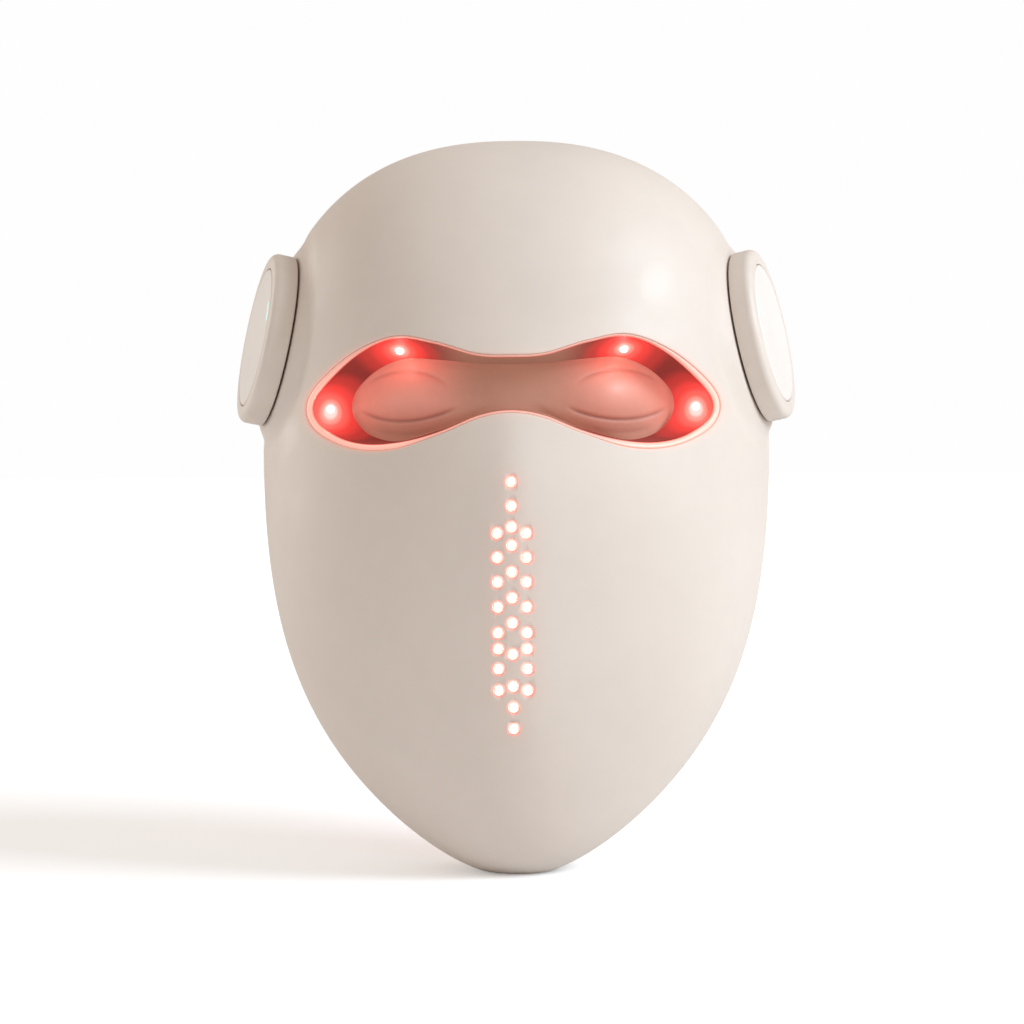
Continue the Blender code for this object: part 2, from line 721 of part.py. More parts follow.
def make_screws():
    """Pan-head screws from the face side of the panel into the shell's bosses."""
    under_head = -(PANEL_INSET + PANEL_WALL + FACET_ROOM)
    crown = under_head - SCREW_HEAD
    tip = -(SHELL_WALL + 2 * GAP)
    profile = (
        (0.0, crown), (SCREW_HEAD_RADIUS * 0.7, crown),
        (SCREW_HEAD_RADIUS, under_head - 0.4 * SCREW_HEAD), (SCREW_HEAD_RADIUS, under_head),
        (SCREW_RADIUS, under_head), (SCREW_RADIUS, tip), (0.0, tip),
    )
    for number, place in enumerate(SCREW_PLACES, start=1):
        screw = turned(f"panel_screw_{number}", profile, steel(), steps=10, close=False)
        screw.matrix_world = screw_frame(place)


def make_patch(name, angles, arcs, outer, inner, made_of, crown=0.0):
    """Sheet that follows the skin between two insets, thicker in the middle by the crown."""
    def sheet(inset, lift):
        grid = []
        for i in range(angles[2] + 1):
            phi = math.radians(angles[0] + (angles[1] - angles[0]) * i / angles[2])
            row = []
            for j in range(arcs[2] + 1):
                arc = arcs[0] + (arcs[1] - arcs[0]) * j / arcs[2]
                u, v = 2.0 * i / angles[2] - 1.0, 2.0 * j / arcs[2] - 1.0
                row.append(skin(phi, arc, inset - lift * max(u * u, v * v)))
            grid.append(row)
        return grid
    slab(name, sheet(outer, 0.0), sheet(inner, crown), made_of)


def make_light_boards():
    low, high = BOARD_INSET, BOARD_INSET + BOARD_WALL
    make_patch("forehead_led_board", (48, 132, 8), (0.50, 0.76, 3), low, high, board_white())
    make_patch("right_cheek_led_board", (-64, -24, 6), (0.42, 0.72, 4), low, high, board_white())
    make_patch("left_cheek_led_board", (204, 244, 6), (0.42, 0.72, 4), low, high, board_white())
    make_patch("chin_led_board", (-106, -74, 4), (0.62, 0.80, 3), low, high, board_white())
    make_patch("right_ribbon_cable", (24, 46, 5), (0.60, 0.66, 1), low, low + CABLE_WALL, seal_grey())
    make_patch("left_ribbon_cable", (134, 156, 5), (0.60, 0.66, 1), low, low + CABLE_WALL, seal_grey())


def nose_sheet(inset, columns=4, rows=8):
    half_width, low, high = NOSE_STRIP
    grid = []
    for i in range(rows + 1):
        z = low + (high - low) * i / rows
        across = [half_width * (2.0 * j / columns - 1.0) for j in range(columns + 1)]
        grid.append([skin_at(x, z, inset) for x in across])
    return grid


def make_nose_strips():
    """Lens strip with a bead in each light hole, and the light board behind it."""
    made_of = clear_pink()
    front, back = LENS_INSETS
    strip = slab("nose_lens_strip", nose_sheet(front), nose_sheet(back), made_of)
    beads = []
    for x, z in light_places():
        bead = rod("bead", LIGHT_BEAD_RADIUS, BEAD_SPAN[0], BEAD_SPAN[1], made_of, steps=6)
        beads.append(placed(bead, aim(skin_at(x, z), FORWARD)))
    boolean_many(strip, beads, "UNION", "bead_tools")
    front, back = NOSE_BOARD_INSETS
    slab("nose_led_board", nose_sheet(front), nose_sheet(back), board_white())


def make_pads():
    low, high = PAD_INSET, PAD_INSET + PAD_DEPTH
    silicone = soft_silicone()
    make_patch("forehead_pad", (62, 118, 6), (0.46, 0.66, 3), low, high, silicone, crown=PAD_CROWN)
    thin = low + PAD_DEPTH - PAD_CROWN
    make_patch("nose_pad", (-104, -76, 6), (0.12, 0.24, 2), low, thin, silicone, crown=0.002)
    make_patch("right_cheek_pad", (-52, -30, 4), (0.64, 0.82, 3), low, high, silicone, crown=PAD_CROWN)
    make_patch("left_cheek_pad", (210, 232, 4), (0.64, 0.82, 3), low, high, silicone, crown=PAD_CROWN)
    make_patch("chin_pad", (-104, -76, 4), (0.70, 0.84, 3), low, high, silicone, crown=PAD_CROWN)


def make_edge_seal():
    """Soft gasket ring between the shell's rear skirt and the panel."""
    low, high = SHELL_WALL + 2 * GAP, PANEL_INSET + PANEL_WALL
    rows = []
    for phi in FACE_ANGLES:
        rows.append([
            skin(phi, 1.40, low), skin(phi, 1.90, low), skin(phi, 1.90, high - 0.002),
            skin(phi, 1.70, high), skin(phi, 1.40, high),
        ])
    looped("edge_seal", rows, seal_grey())


# ---------------------------------------------------------------- temple pods
def pod_axis(side):
    axis = bpy.data.objects.new(f"{side}_pod_axis", None)
    bpy.context.scene.collection.objects.link(axis)
    axis.matrix_world = POD_FRAMES[side]
    return axis


def housing_profile():
    """Closed section of the pod's ring: side wall, rounded outer edge and front flange."""
    inner = POD_RADIUS - POD_WALL
    round_centre = (POD_RADIUS - POD_EDGE_RADIUS, POD_HEIGHT - POD_EDGE_RADIUS)
    edge = []
    for angle in (0, 22.5, 45, 67.5, 90):
        turn = math.radians(angle)
        edge.append((
            round_centre[0] + POD_EDGE_RADIUS * math.cos(turn),
            round_centre[1] + POD_EDGE_RADIUS * math.sin(turn),
        ))
    opening = BUTTON_RADIUS + GAP
    under = POD_HEIGHT - RING_FLANGE_WALL
    return [
        (inner, POD_LIFT), (POD_RADIUS - 0.0005, POD_LIFT), (POD_RADIUS, POD_LIFT + 0.0005), *edge,
        (opening, POD_HEIGHT), (opening, under), (inner, under),
    ]


def make_strap_loop(side, sign, axis):
    """Flat loop behind the pod, toward the wearer's ear: its plate, and the cutter for its slot."""
    height, width = LOOP_SLOT
    low, high = LOOP_SPAN
    root = POD_RADIUS - 0.0030
    end = POD_RADIUS + GAP + width + LOOP_BAR
    plate = block(
        f"{side}_loop_plate", (end - root, height + 2 * LOOP_BAR, high - low),
        (sign * (end + root) / 2, 0.0, (low + high) / 2), oat_plastic(), axis,
    )
    slot = block(
        f"{side}_loop_slot", (width, height, 0.02),
        (sign * (end - LOOP_BAR - width / 2), 0.0, 0.0), oat_plastic(), axis,
    )
    return plate, slot


def make_housing(side, sign, axis):
    housing = turned(f"{side}_pod_housing", housing_profile(), oat_plastic(), axis)
    plate, slot = make_strap_loop(side, sign, axis)
    radius = POD_RADIUS - POD_WALL
    bore = rod(f"{side}_inner_bore", radius, -POD_LIFT, BORE_END, oat_plastic(), axis, POD_STEPS)
    boolean(plate, bore, "DIFFERENCE")
    boolean(housing, plate, "UNION")
    boolean(housing, slot, "DIFFERENCE")


def make_base(side, axis):
    """Back plate with the hollow hub that the pod swivels on."""
    outer, top = POD_RADIUS - POD_WALL - GAP, POD_LIFT + BASE_WALL
    profile = (
        (HUB_BORE, HUB_END), (HUB_RADIUS, HUB_END), (HUB_RADIUS, POD_LIFT),
        (outer, POD_LIFT), (outer, top), (HUB_BORE, top),
    )
    turned(f"{side}_pod_base", profile, oat_plastic(), axis)


def flat_ring(name, inner, outer, low, high, made_of, parent=None, steps=POD_STEPS):
    profile = ((inner, low), (outer, low), (outer, high), (inner, high))
    return turned(name, profile, made_of, parent, steps)


def make_pivot(side, axis):
    """Washer fixed in the shell, and the retaining clip that turns with the hub."""
    bore = HUB_RADIUS + GAP
    high = -(SHELL_WALL + GAP)
    low = high - WASHER_WALL
    washer = flat_ring(f"{side}_pivot_washer", bore, WASHER_RADIUS, low, high, steel(), steps=20)
    washer.matrix_world = POD_FRAMES[side]
    high = low - GAP
    low = high - CLIP_WALL
    flat_ring(f"{side}_pivot_clip", bore, CLIP_RADIUS, low, high, steel(), axis, steps=20)


def make_electronics(side, axis):
    low = POD_LIFT + BASE_WALL + GAP
    high = low + POD_BOARD_WALL
    flat_ring(f"{side}_pod_board", HUB_BORE, POD_BOARD_RADIUS, low, high, dark_board(), axis)
    floor = high + GAP
    centre = (0.0, BATTERY_Y, floor + BATTERY_SIZE[2] / 2)
    block(f"{side}_battery", BATTERY_SIZE, centre, foil_cell(), axis)
    centre = (0.0, SWITCH_Y, floor + SWITCH_SIZE[2] / 2)
    block(f"{side}_button_switch", SWITCH_SIZE, centre, dark_board(), axis)


def make_cover(side, sign, axis):
    """Round push cover: a hat section whose flange is held behind the ring of the housing."""
    top = POD_HEIGHT + COVER_STEP
    under = POD_HEIGHT - RING_FLANGE_WALL - GAP
    foot, roof = under - COVER_FLANGE_WALL, top - COVER_WALL
    radius, inner = BUTTON_RADIUS, BUTTON_RADIUS - COVER_SIDE_WALL
    profile = (
        (0.0, top), (radius - 0.0008, top), (radius - 0.0002, top - 0.0003),
        (radius, top - 0.0008), (radius, under), (radius + COVER_LAP, under),
        (radius + COVER_LAP, foot), (inner, foot), (inner, roof), (0.0, roof),
    )
    cover = turned(f"{side}_button_cover", profile, oat_plastic(), axis, close=False)
    width = INDICATOR_WIDTH / 2
    slot = indicator_bar(
        f"{side}_indicator_slot", width + GAP, (top - COVER_LAP, top + COVER_LAP),
        INDICATOR_TURN + 1.2, sign, axis,
    )
    boolean(cover, slot, "DIFFERENCE")
    indicator_bar(f"{side}_indicator", width, (roof, top + COVER_STEP), INDICATOR_TURN, sign, axis)


def indicator_bar(name, width, span, spread, sign, axis):
    """Short curved bar near the cover's front edge, a little above its middle."""
    middle_turn = math.radians(90.0 + sign * INDICATOR_PLACE)
    low, high = span
    front, back = [], []
    for i in range(5):
        turn = middle_turn + math.radians(spread) * (i / 2.0 - 1.0)
        across = Vector((math.cos(turn), math.sin(turn), 0.0))
        ends = (across * (INDICATOR_RADIUS - width), across * (INDICATOR_RADIUS + width))
        front.append([end + Vector((0.0, 0.0, high)) for end in ends])
        back.append([end + Vector((0.0, 0.0, low)) for end in ends])
    return slab(name, front, back, teal_light(), axis)


def make_charge_contacts():
    """Two magnetic charging contacts through the lower rim of the right pod."""
    axis = bpy.data.objects["right_pod_axis"]
    housing = bpy.data.objects["right_pod_housing"]
    for name, angle in (("charge_contact_front", 264.0), ("charge_contact_rear", 276.0)):
        turn = math.radians(angle)
        direction = Vector((math.cos(turn), math.sin(turn), 0.0))
        origin = direction * POD_RADIUS + Vector((0.0, 0.0, CONTACT_HEIGHT))
        frame = aim(origin, direction)
        radius = CONTACT_RADIUS + GAP
        hole = rod(f"{name}_hole", radius, -2 * POD_WALL, POD_WALL, gold(), axis, steps=12)
        boolean(housing, placed(hole, frame), "DIFFERENCE")
        placed(rod(name, CONTACT_RADIUS, -POD_WALL, 0.0, gold(), axis, steps=12), frame)


def make_pod(side, sign):
    axis = pod_axis(side)
    make_housing(side, sign, axis)
    make_base(side, axis)
    make_pivot(side, axis)
    make_electronics(side, axis)
    make_cover(side, sign, axis)


def lower_everything():
    """Bring the resting plane from the drawing datum to z = 0."""
    for thing in bpy.data.objects:
        if thing.parent is None:
            thing.location.z -= FRAME_DROP


def main():
    for thing in list(bpy.data.objects):
        bpy.data.objects.remove(thing)
    make_shell()
    make_eye_rim()
    make_eye_bezel()
    make_eye_lights()
    make_eye_shield()
    make_face_panel()
    make_screws()
    make_light_boards()
    make_nose_strips()
    make_pads()
    make_edge_seal()
    make_pod("left", -1)
    make_pod("right", 1)
    make_charge_contacts()
    lower_everything()


main()
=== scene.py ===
"""How the LED face mask looks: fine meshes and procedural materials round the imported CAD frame."""
import math

import bmesh
import bpy
import numpy as np
from mathutils import Matrix, Vector


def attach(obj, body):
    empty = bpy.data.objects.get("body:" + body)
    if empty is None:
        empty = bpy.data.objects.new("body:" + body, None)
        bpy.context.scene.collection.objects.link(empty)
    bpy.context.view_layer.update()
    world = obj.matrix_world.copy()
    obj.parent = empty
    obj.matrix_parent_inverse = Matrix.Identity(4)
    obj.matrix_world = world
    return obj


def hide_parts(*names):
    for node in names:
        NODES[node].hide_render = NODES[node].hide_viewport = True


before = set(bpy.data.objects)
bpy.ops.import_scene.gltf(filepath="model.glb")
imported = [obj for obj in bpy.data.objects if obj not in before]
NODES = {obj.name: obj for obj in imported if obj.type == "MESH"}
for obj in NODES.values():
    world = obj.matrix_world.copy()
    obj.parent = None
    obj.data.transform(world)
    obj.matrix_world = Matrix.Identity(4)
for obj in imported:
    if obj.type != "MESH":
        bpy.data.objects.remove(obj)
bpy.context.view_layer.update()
TAU = 2.0 * math.pi

# ------------ dimensions that repeat the CAD part's, in metres
GAP = 0.0003
FRAME_DROP = 0.0046             # height of the resting plane above the datum of the numbers below
HALF_WIDTH = 0.0812
WIDEST_HEIGHT = 0.1430
TOP_HEIGHT = 0.2296
CHIN_FLAT_CUT = 0.0016
UPPER_POWER = 2.40
LOWER_POWER = 2.23
JAW_NARROWING = 0.326
JAW_POWER = 5.05
FRAME_SHIFT = 0.0137
POLE_HEIGHT = 0.1530
POLE_DEPTH = -0.0640 + FRAME_SHIFT
SIDE_DEPTH = 0.0280 + FRAME_SHIFT
TOP_DEPTH = 0.0030 + FRAME_SHIFT
CHIN_DEPTH = -0.0190 + FRAME_SHIFT
DOME_POWER = 2.2
SKIRT_SIDE = 0.0170
SKIRT_TOP = 0.0060
SKIRT_PULL = 0.025
SHELL_WALL = 0.0025
RIDGE_HEIGHT = 0.0090
RIDGE_REACH = 0.0280
EYE_OUTLINE = (
    (0.0, 0.1446), (0.0090, 0.1432), (0.0200, 0.1388), (0.0340, 0.1344), (0.0470, 0.1346),
    (0.0580, 0.1394), (0.0618, 0.1460), (0.0585, 0.1532), (0.0470, 0.1624), (0.0340, 0.1672),
    (0.0220, 0.1654), (0.0100, 0.1618), (0.0, 0.1612),
)
FUNNEL_OUTLINE = (
    (0.0, 0.1458), (0.0090, 0.1446), (0.0195, 0.1404), (0.0330, 0.1366), (0.0420, 0.1382),
    (0.0468, 0.1425), (0.0482, 0.1470), (0.0465, 0.1520), (0.0405, 0.1575), (0.0320, 0.1608),
    (0.0215, 0.1604), (0.0100, 0.1592), (0.0, 0.1588),
)
RIM_WIDTH = 0.0020
BEZEL_WALL = 0.0010
BEZEL_DEPTH = 0.0150
EYE_LIGHTS = ((0.0330, 0.1632), (0.0547, 0.1462))
EYE_LIGHT_RADIUS = 0.0011
FUNNEL_START = 0.0022           # where the visible funnel begins, behind the skin
LIGHT_STAND = 0.0002            # how far each eye light stands clear of the funnel
EYE_CENTRE_X = 0.0315
EYE_CENTRE_Z = 0.1500
SHIELD_WALL = 0.0020
SHIELD_DEPTH = 0.0171
SHIELD_FLANGE = 0.0035
LID_DOME = (0.0170, 0.0120, 0.0085)
LIGHT_HEIGHTS_CENTRE = (
    0.1250, 0.1180, 0.1120, 0.1067, 0.0990, 0.0915, 0.0842, 0.0750, 0.0655, 0.0592, 0.0527,
)
LIGHT_HEIGHTS_SIDE = (0.1102, 0.1032, 0.0961, 0.0888, 0.0813, 0.0766, 0.0707, 0.0643)
LIGHT_COLUMN_X = 0.00425
BEAD_RADIUS = 0.00102
BEAD_SINK = 0.0011              # how far the middle of each bead lies behind the skin
STRIP_HALF_WIDTH = 0.0068
STRIP_HEIGHTS = (0.0480, 0.1290)
STRIP_INSETS = (0.0034, 0.0050)
PANEL_INSET = 0.0090
PANEL_WALL = 0.0020
FACET_ROOM = 0.0022
PAD_INSET = PANEL_INSET + PANEL_WALL + FACET_ROOM
PAD_DEPTH = 0.0070
POD_CENTRE = (0.0735, -0.0030 + FRAME_SHIFT, 0.1676)
POD_UP_TILT = 11.6
POD_FORWARD_TILT = 15.0
POD_RADIUS = 0.0268
POD_LIFT = 0.0006
POD_HEIGHT = 0.0077
POD_WALL = 0.0018
POD_EDGE_RADIUS = 0.0023
COLLAR_INNER = 0.0281
COLLAR_OUTER = 0.0350
VALLEY_OUTER = 0.0370           # a soft valley runs round each collar, from its inner radius to here
VALLEY_DEPTH = 0.0010
HUB_HOLE_RADIUS = 0.0053
BUTTON_RADIUS = 0.0216
BUTTON_RISE = 0.0001            # how far the cover stands proud of the housing
FLANGE_WALL = 0.0015            # thickness of the housing's front flange
COVER_FLANGE = 0.0024           # reach of the cover's hidden flange past the button's radius
COVER_FLANGE_WALL = 0.0012
EDGE_ROUND = 0.0006             # soft edge of the housing's foot and of the cover
INDICATOR_PLACE = 66.0          # turn from the top of the cover towards the face
INDICATOR_TURN = 9.6            # half length of the bar, as a turn
INDICATOR_RADIUS = 0.0186
INDICATOR_HALF_WIDTH = 0.0006
INDICATOR_ROOM = 0.00008
CONTACT_ANGLES = (264.0, 276.0)
CONTACT_HEIGHT = 0.0034
CONTACT_HOLE = (0.0013, -0.0040, 0.0020)        # radius, and where it starts and ends about the side wall
LOOP_SLOT = (0.0220, 0.0065)
LOOP_BAR = 0.0035
LOOP_SPAN = (0.0024, 0.0052)

# ------------ fineness of the meshes
FACE_STEPS = 384                # points round the face
FRONT_STEPS = 72                # rings from the eye opening to the widest line
ROUND_STEPS = 96                # points round a pod


# ------------ outline and skin of the face
def outline_table():
    """Polar angle and radius of the outline about the dome's pole."""
    turn = np.linspace(0.0, TAU, 8001)
    cos, sin = np.cos(turn), np.sin(turn)
    power = np.where(sin >= 0, UPPER_POWER, LOWER_POWER)
    lower_half = WIDEST_HEIGHT - FRAME_DROP + CHIN_FLAT_CUT
    half_height = np.where(sin >= 0, TOP_HEIGHT - WIDEST_HEIGHT, lower_half)
    rise = np.abs(sin) ** (2.0 / power)
    x = HALF_WIDTH * np.sign(cos) * np.abs(cos) ** (2.0 / power)
    x = np.where(sin < 0, x * (1.0 - JAW_NARROWING * rise ** JAW_POWER), x)
    z = WIDEST_HEIGHT + np.sign(sin) * half_height * rise - POLE_HEIGHT
    angle = np.mod(np.arctan2(z, x), TAU)
    order = np.argsort(angle)
    return angle[order], np.hypot(x, z)[order]


def smooth_loop(half):
    """Smooth closed curve through a mirrored half outline, as (x, z) points."""
    loop = np.array(list(half) + [(-x, z) for x, z in reversed(half[1:-1])])
    p0, p1, p2, p3 = (np.roll(loop, -shift, axis=0)[:, None, :] for shift in (-1, 0, 1, 2))
    step = np.linspace(0.0, 1.0, 24, endpoint=False)[None, :, None]
    a = 2.0 * p1 + (p2 - p0) * step
    b = (2.0 * p0 - 5.0 * p1 + 4.0 * p2 - p3) * step ** 2
    c = (3.0 * p1 - p0 - 3.0 * p2 + p3) * step ** 3
    return (0.5 * (a + b + c)).reshape(-1, 2)


def eye_table():
    """Polar angle and radius of the eye opening, with the points of both eye curves."""
    edge, funnel = smooth_loop(EYE_OUTLINE), smooth_loop(FUNNEL_OUTLINE)
    rise = edge[:, 1] - POLE_HEIGHT
    angle = np.mod(np.arctan2(rise, edge[:, 0]), TAU)
    order = np.argsort(angle)
    return angle[order], np.hypot(edge[:, 0], rise)[order], edge[order], funnel[order]


def ridge_table():
    """Height share of the nose ridge by z, smoothed so that it has no kinks."""
    z = np.arange(-0.040, 0.260, 0.0005)
    share = np.interp(z, (0.0, 0.030, 0.060, 0.125, 0.150, 0.172), (0.11, 0.28, 0.67, 1.0, 0.6, 0.0))
    reach = np.arange(-24, 25)
    weight = np.exp(-(reach / 9.0) ** 2)
    padded = np.pad(share, 24, mode="edge")
    return z, np.convolve(padded, weight / weight.sum(), mode="valid")


OUTLINE = outline_table()
EYE = eye_table()
RIDGE = ridge_table()


def smoothstep(low, high, value):
    share = np.clip((value - low) / (high - low), 0.0, 1.0)
    return share * share * (3.0 - 2.0 * share)


def polar(table, phi):
    return np.interp(np.mod(phi, TAU), table[0], table[1], period=TAU)


def eye_curve(points, phi):
    """Point of the eye opening (EYE[2]) or of the funnel's inner edge (EYE[3]) at an angle."""
    turn = np.mod(phi, TAU)
    return np.stack([np.interp(turn, EYE[0], points[:, axis], period=TAU) for axis in (0, 1)], axis=-1)


def ridge(x, z):
    """How far the nose ridge lifts the skin forward."""
    share = np.interp(z, RIDGE[0], RIDGE[1])
    roundness = np.interp(z, (0.0, 0.060, 0.140), (0.016, 0.012, 0.007))
    across = np.hypot(x, roundness) - roundness
    return RIDGE_HEIGHT * share * np.exp(-across / RIDGE_REACH)


def widest_depth(phi):
    rise = np.sin(phi)
    end = np.where(rise > 0, TOP_DEPTH, CHIN_DEPTH)
    return SIDE_DEPTH + (end - SIDE_DEPTH) * rise * rise


def skin(phi, arc, inset=0.0):
    """Points on the skin: arc 0 is the pole, 1 the widest line and 2 the rear edge."""
    phi, arc, inset = np.broadcast_arrays(phi, arc, inset)
    radius = polar(OUTLINE, phi) - inset
    middle = widest_depth(phi)
    front = np.sin(np.minimum(arc, 1.0) * math.pi / 2.0)
    dome = np.maximum(0.0, 1.0 - front ** DOME_POWER) ** (1.0 / DOME_POWER)
    back = np.maximum(arc - 1.0, 0.0)
    reach = SKIRT_SIDE + (SKIRT_TOP - SKIRT_SIDE) * np.maximum(0.0, np.sin(phi)) ** 2
    behind = arc > 1.0
    share = np.where(behind, 1.0 - SKIRT_PULL * back * back, front)
    depth = np.where(behind, middle + back * reach, middle - (middle - POLE_DEPTH - inset) * dome)
    x = share * radius * np.cos(phi)
    z = POLE_HEIGHT + share * radius * np.sin(phi)
    return np.stack((x, depth - ridge(x, z), np.maximum(z, FRAME_DROP + inset)), axis=-1)


def arc_at(phi, radius, inset=0.0):
    """Arc value whose distance from the pole, seen from the front, is the given radius."""
    share = np.minimum(1.0, radius / (polar(OUTLINE, phi) - inset))
    return np.arcsin(share) * 2.0 / math.pi


def skin_at(x, z, inset=0.0):
    """Skin point straight behind the given front-view position."""
    phi = np.arctan2(z - POLE_HEIGHT, x)
    return skin(phi, arc_at(phi, np.hypot(x, z - POLE_HEIGHT), inset), inset)


def pod_frame(side):
    """Matrix of the pod frame: local Z points out, local Y points up."""
    up, forward = math.radians(POD_UP_TILT), math.radians(POD_FORWARD_TILT)
    out = Vector((side * math.cos(up) * math.cos(forward), -math.cos(up) * math.sin(forward), math.sin(up)))
    local_y = (Vector((0.0, 0.0, 1.0)) - out * out.z).normalized()
    made = Matrix((local_y.cross(out), local_y, out)).transposed().to_4x4()
    made.translation = Vector((side * POD_CENTRE[0], POD_CENTRE[1], POD_CENTRE[2]))
    return made


POD_FRAMES = {"left": pod_frame(-1), "right": pod_frame(1)}


def moved(matrix, points):
    """Points moved by a 4 by 4 matrix."""
    table = np.array(matrix)
    return points @ table[:3, :3].T + table[:3, 3]


def collared(points, inset):
    """Draw shell points onto the flat collar under each pod, with a soft fillet round it."""
    for matrix in POD_FRAMES.values():
        local = moved(matrix.inverted(), points)
        radius = np.hypot(local[..., 0], local[..., 1])
        keep = smoothstep(COLLAR_INNER, COLLAR_OUTER, radius)
        near = np.abs(local[..., 2]) < COLLAR_OUTER
        local[..., 2] = np.where(near, -inset + (local[..., 2] + inset) * keep, local[..., 2])
        valley = np.clip((radius - COLLAR_INNER) / (VALLEY_OUTER - COLLAR_INNER), 0.0, 1.0)
        local[..., 2] -= np.where(near, VALLEY_DEPTH * np.sin(math.pi * valley ** 0.7) ** 2, 0.0)
        points = moved(matrix, local)
    return points


def face_angles(count):
    """Polar angles that follow the arc length of the outline and of the eye opening equally."""
    phi = np.linspace(-0.5 * math.pi, 1.5 * math.pi, 5761)
    travelled = np.zeros(len(phi))
    for table in (OUTLINE, EYE):
        radius = polar(table, phi)
        steps = np.hypot(np.diff(radius * np.cos(phi)), np.diff(radius * np.sin(phi)))
        length = np.concatenate(((0.0,), np.cumsum(steps)))
        travelled += length / length[-1]
    return np.interp(np.linspace(0.0, 2.0, count, endpoint=False), travelled, phi)


ANGLES = face_angles(FACE_STEPS)
COLUMN = ANGLES[:, None]
EYE_EDGE = eye_curve(EYE[2], ANGLES)
FUNNEL_EDGE = eye_curve(EYE[3], ANGLES)


# ------------ mesh helpers
def placed(name, data):
    """A new object in the scene."""
    made = bpy.data.objects.new(name, data)
    bpy.context.scene.collection.objects.link(made)
    return made


def closed_mesh(name, points, faces):
    """A mesh whose faces all look outward."""
    mesh = bpy.data.meshes.new(name)
    mesh.from_pydata(np.asarray(points).reshape(-1, 3), [], faces)
    work = bmesh.new()
    work.from_mesh(mesh)
    bmesh.ops.recalc_face_normals(work, faces=work.faces)
    work.to_mesh(mesh)
    work.free()
    return mesh


def add_mesh(name, points, faces, made_of, body, sharp=None):
    """Closed mesh piece in the shared frame, riding on a body."""
    mesh = closed_mesh(name, points, faces)
    mesh.shade_smooth()
    if sharp:
        mesh.set_sharp_from_angle(angle=math.radians(sharp))
    mesh.materials.append(made_of)
    thing = placed(name, mesh)
    thing.location.z = -FRAME_DROP
    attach(thing, body)
    return thing


def loop_faces(count, size):
    """Faces of a closed tube: count sections of size points, closed both ways."""
    i = np.arange(count)[:, None]
    j = np.arange(size)[None, :]
    after, beside = (i + 1) % count, (j + 1) % size
    corners = (i * size + j, i * size + beside, after * size + beside, after * size + j)
    return np.stack(np.broadcast_arrays(*corners), axis=-1).reshape(-1, 4).tolist()


def strip_faces(count, size):
    """Faces of a closed solid: count sections of size points, with a flat face at both ends."""
    i = np.arange(count - 1)[:, None]
    j = np.arange(size)[None, :]
    beside = (j + 1) % size
    corners = (i * size + j, i * size + beside, (i + 1) * size + beside, (i + 1) * size + j)
    sides = np.stack(np.broadcast_arrays(*corners), axis=-1).reshape(-1, 4).tolist()
    return sides + [tuple(range(size)), tuple(reversed(range((count - 1) * size, count * size)))]


def paint(thing, name, values):
    """Keep one number per point under a name that the materials can read."""
    thing.data.attributes.new(name, "FLOAT", "POINT").data.foreach_set("value", values.astype(np.float32))


def looped(name, rows, made_of, body, sharp=None):
    rows = np.asarray(rows)
    return add_mesh(name, rows, loop_faces(rows.shape[0], rows.shape[1]), made_of, body, sharp)


def lathe(profile, steps=ROUND_STEPS):
    """Sections of a closed ring about local Z from (radius, height) pairs."""
    turn = np.linspace(0.0, TAU, steps, endpoint=False)[:, None]
    pairs = np.array(profile)
    radius, height = pairs[None, :, 0], pairs[None, :, 1]
    return np.stack(np.broadcast_arrays(radius * np.cos(turn), radius * np.sin(turn), height), axis=-1)


def capped(rows, first, last):
    """Points and faces of sections round an axis, closed by a point at both ends of every section."""
    count, size = rows.shape[:2]
    points = np.concatenate((rows.reshape(-1, 3), [first, last]))
    start, end = count * size, count * size + 1
    faces = []
    for i in range(count):
        k = (i + 1) % count
        faces.append((start, i * size, k * size))
        faces.append((end, k * size + size - 1, i * size + size - 1))
        faces += [(i * size + j, i * size + j + 1, k * size + j + 1, k * size + j) for j in range(size - 1)]
    return points, faces


def capped_lathe(profile, steps):
    """Points and faces of a solid of revolution whose profile starts and ends on the axis."""
    return capped(lathe(profile[1:-1], steps), (0.0, 0.0, profile[0][1]), (0.0, 0.0, profile[-1][1]))


def arc_points(centre, radius, start, end, steps):
    """Points along an arc, from start to end in degrees."""
    turns = np.radians(np.linspace(start, end, steps + 1))
    return [(centre[0] + radius * math.cos(t), centre[1] + radius * math.sin(t)) for t in turns]


def rod(radius, low, high):
    return (0.0, low), (radius, low), (radius, high), (0.0, high)


def domed(radius, foot, rise, steps):
    """Profile of a rod with a domed front whose ball is centred at a height."""
    dome = arc_points((0.0, rise), radius, 0.0, 80.0, steps)
    return [(0.0, foot), (radius, foot), *dome, (0.0, radius + rise)]


def facing(x, z):
    """Matrix at the skin whose Z points to the front."""
    matrix = Matrix.Rotation(math.radians(90.0), 4, "X")
    matrix.translation = Vector(skin_at(x, z).tolist())
    return matrix


def repeated(profile, steps, matrices):
    """The same solid of revolution at several places, as one set of points and faces."""
    own_points, own_faces = capped_lathe(profile, steps)
    points, faces = [], []
    for matrix in matrices:
        shift = len(points) * len(own_points)
        points.append(moved(matrix, own_points))
        faces += [tuple(index + shift for index in face) for face in own_faces]
    return np.concatenate(points), faces


def cut(thing, points, faces, sharp=None):
    """Cut a shape away from a piece, and keep the result as its mesh."""
    tool = placed("cutter", closed_mesh("cutter", points, faces))
    tool.location.z = -FRAME_DROP
    step = thing.modifiers.new("cut", "BOOLEAN")
    step.operation = "DIFFERENCE"
    step.solver = "EXACT"
    step.object = tool
    bpy.context.view_layer.update()
    result = bpy.data.meshes.new_from_object(thing.evaluated_get(bpy.context.evaluated_depsgraph_get()))
    thing.modifiers.clear()
    thing.data = result
    bpy.data.objects.remove(tool)
    if sharp:
        thing.data.shade_smooth()
        thing.data.set_sharp_from_angle(angle=math.radians(sharp))


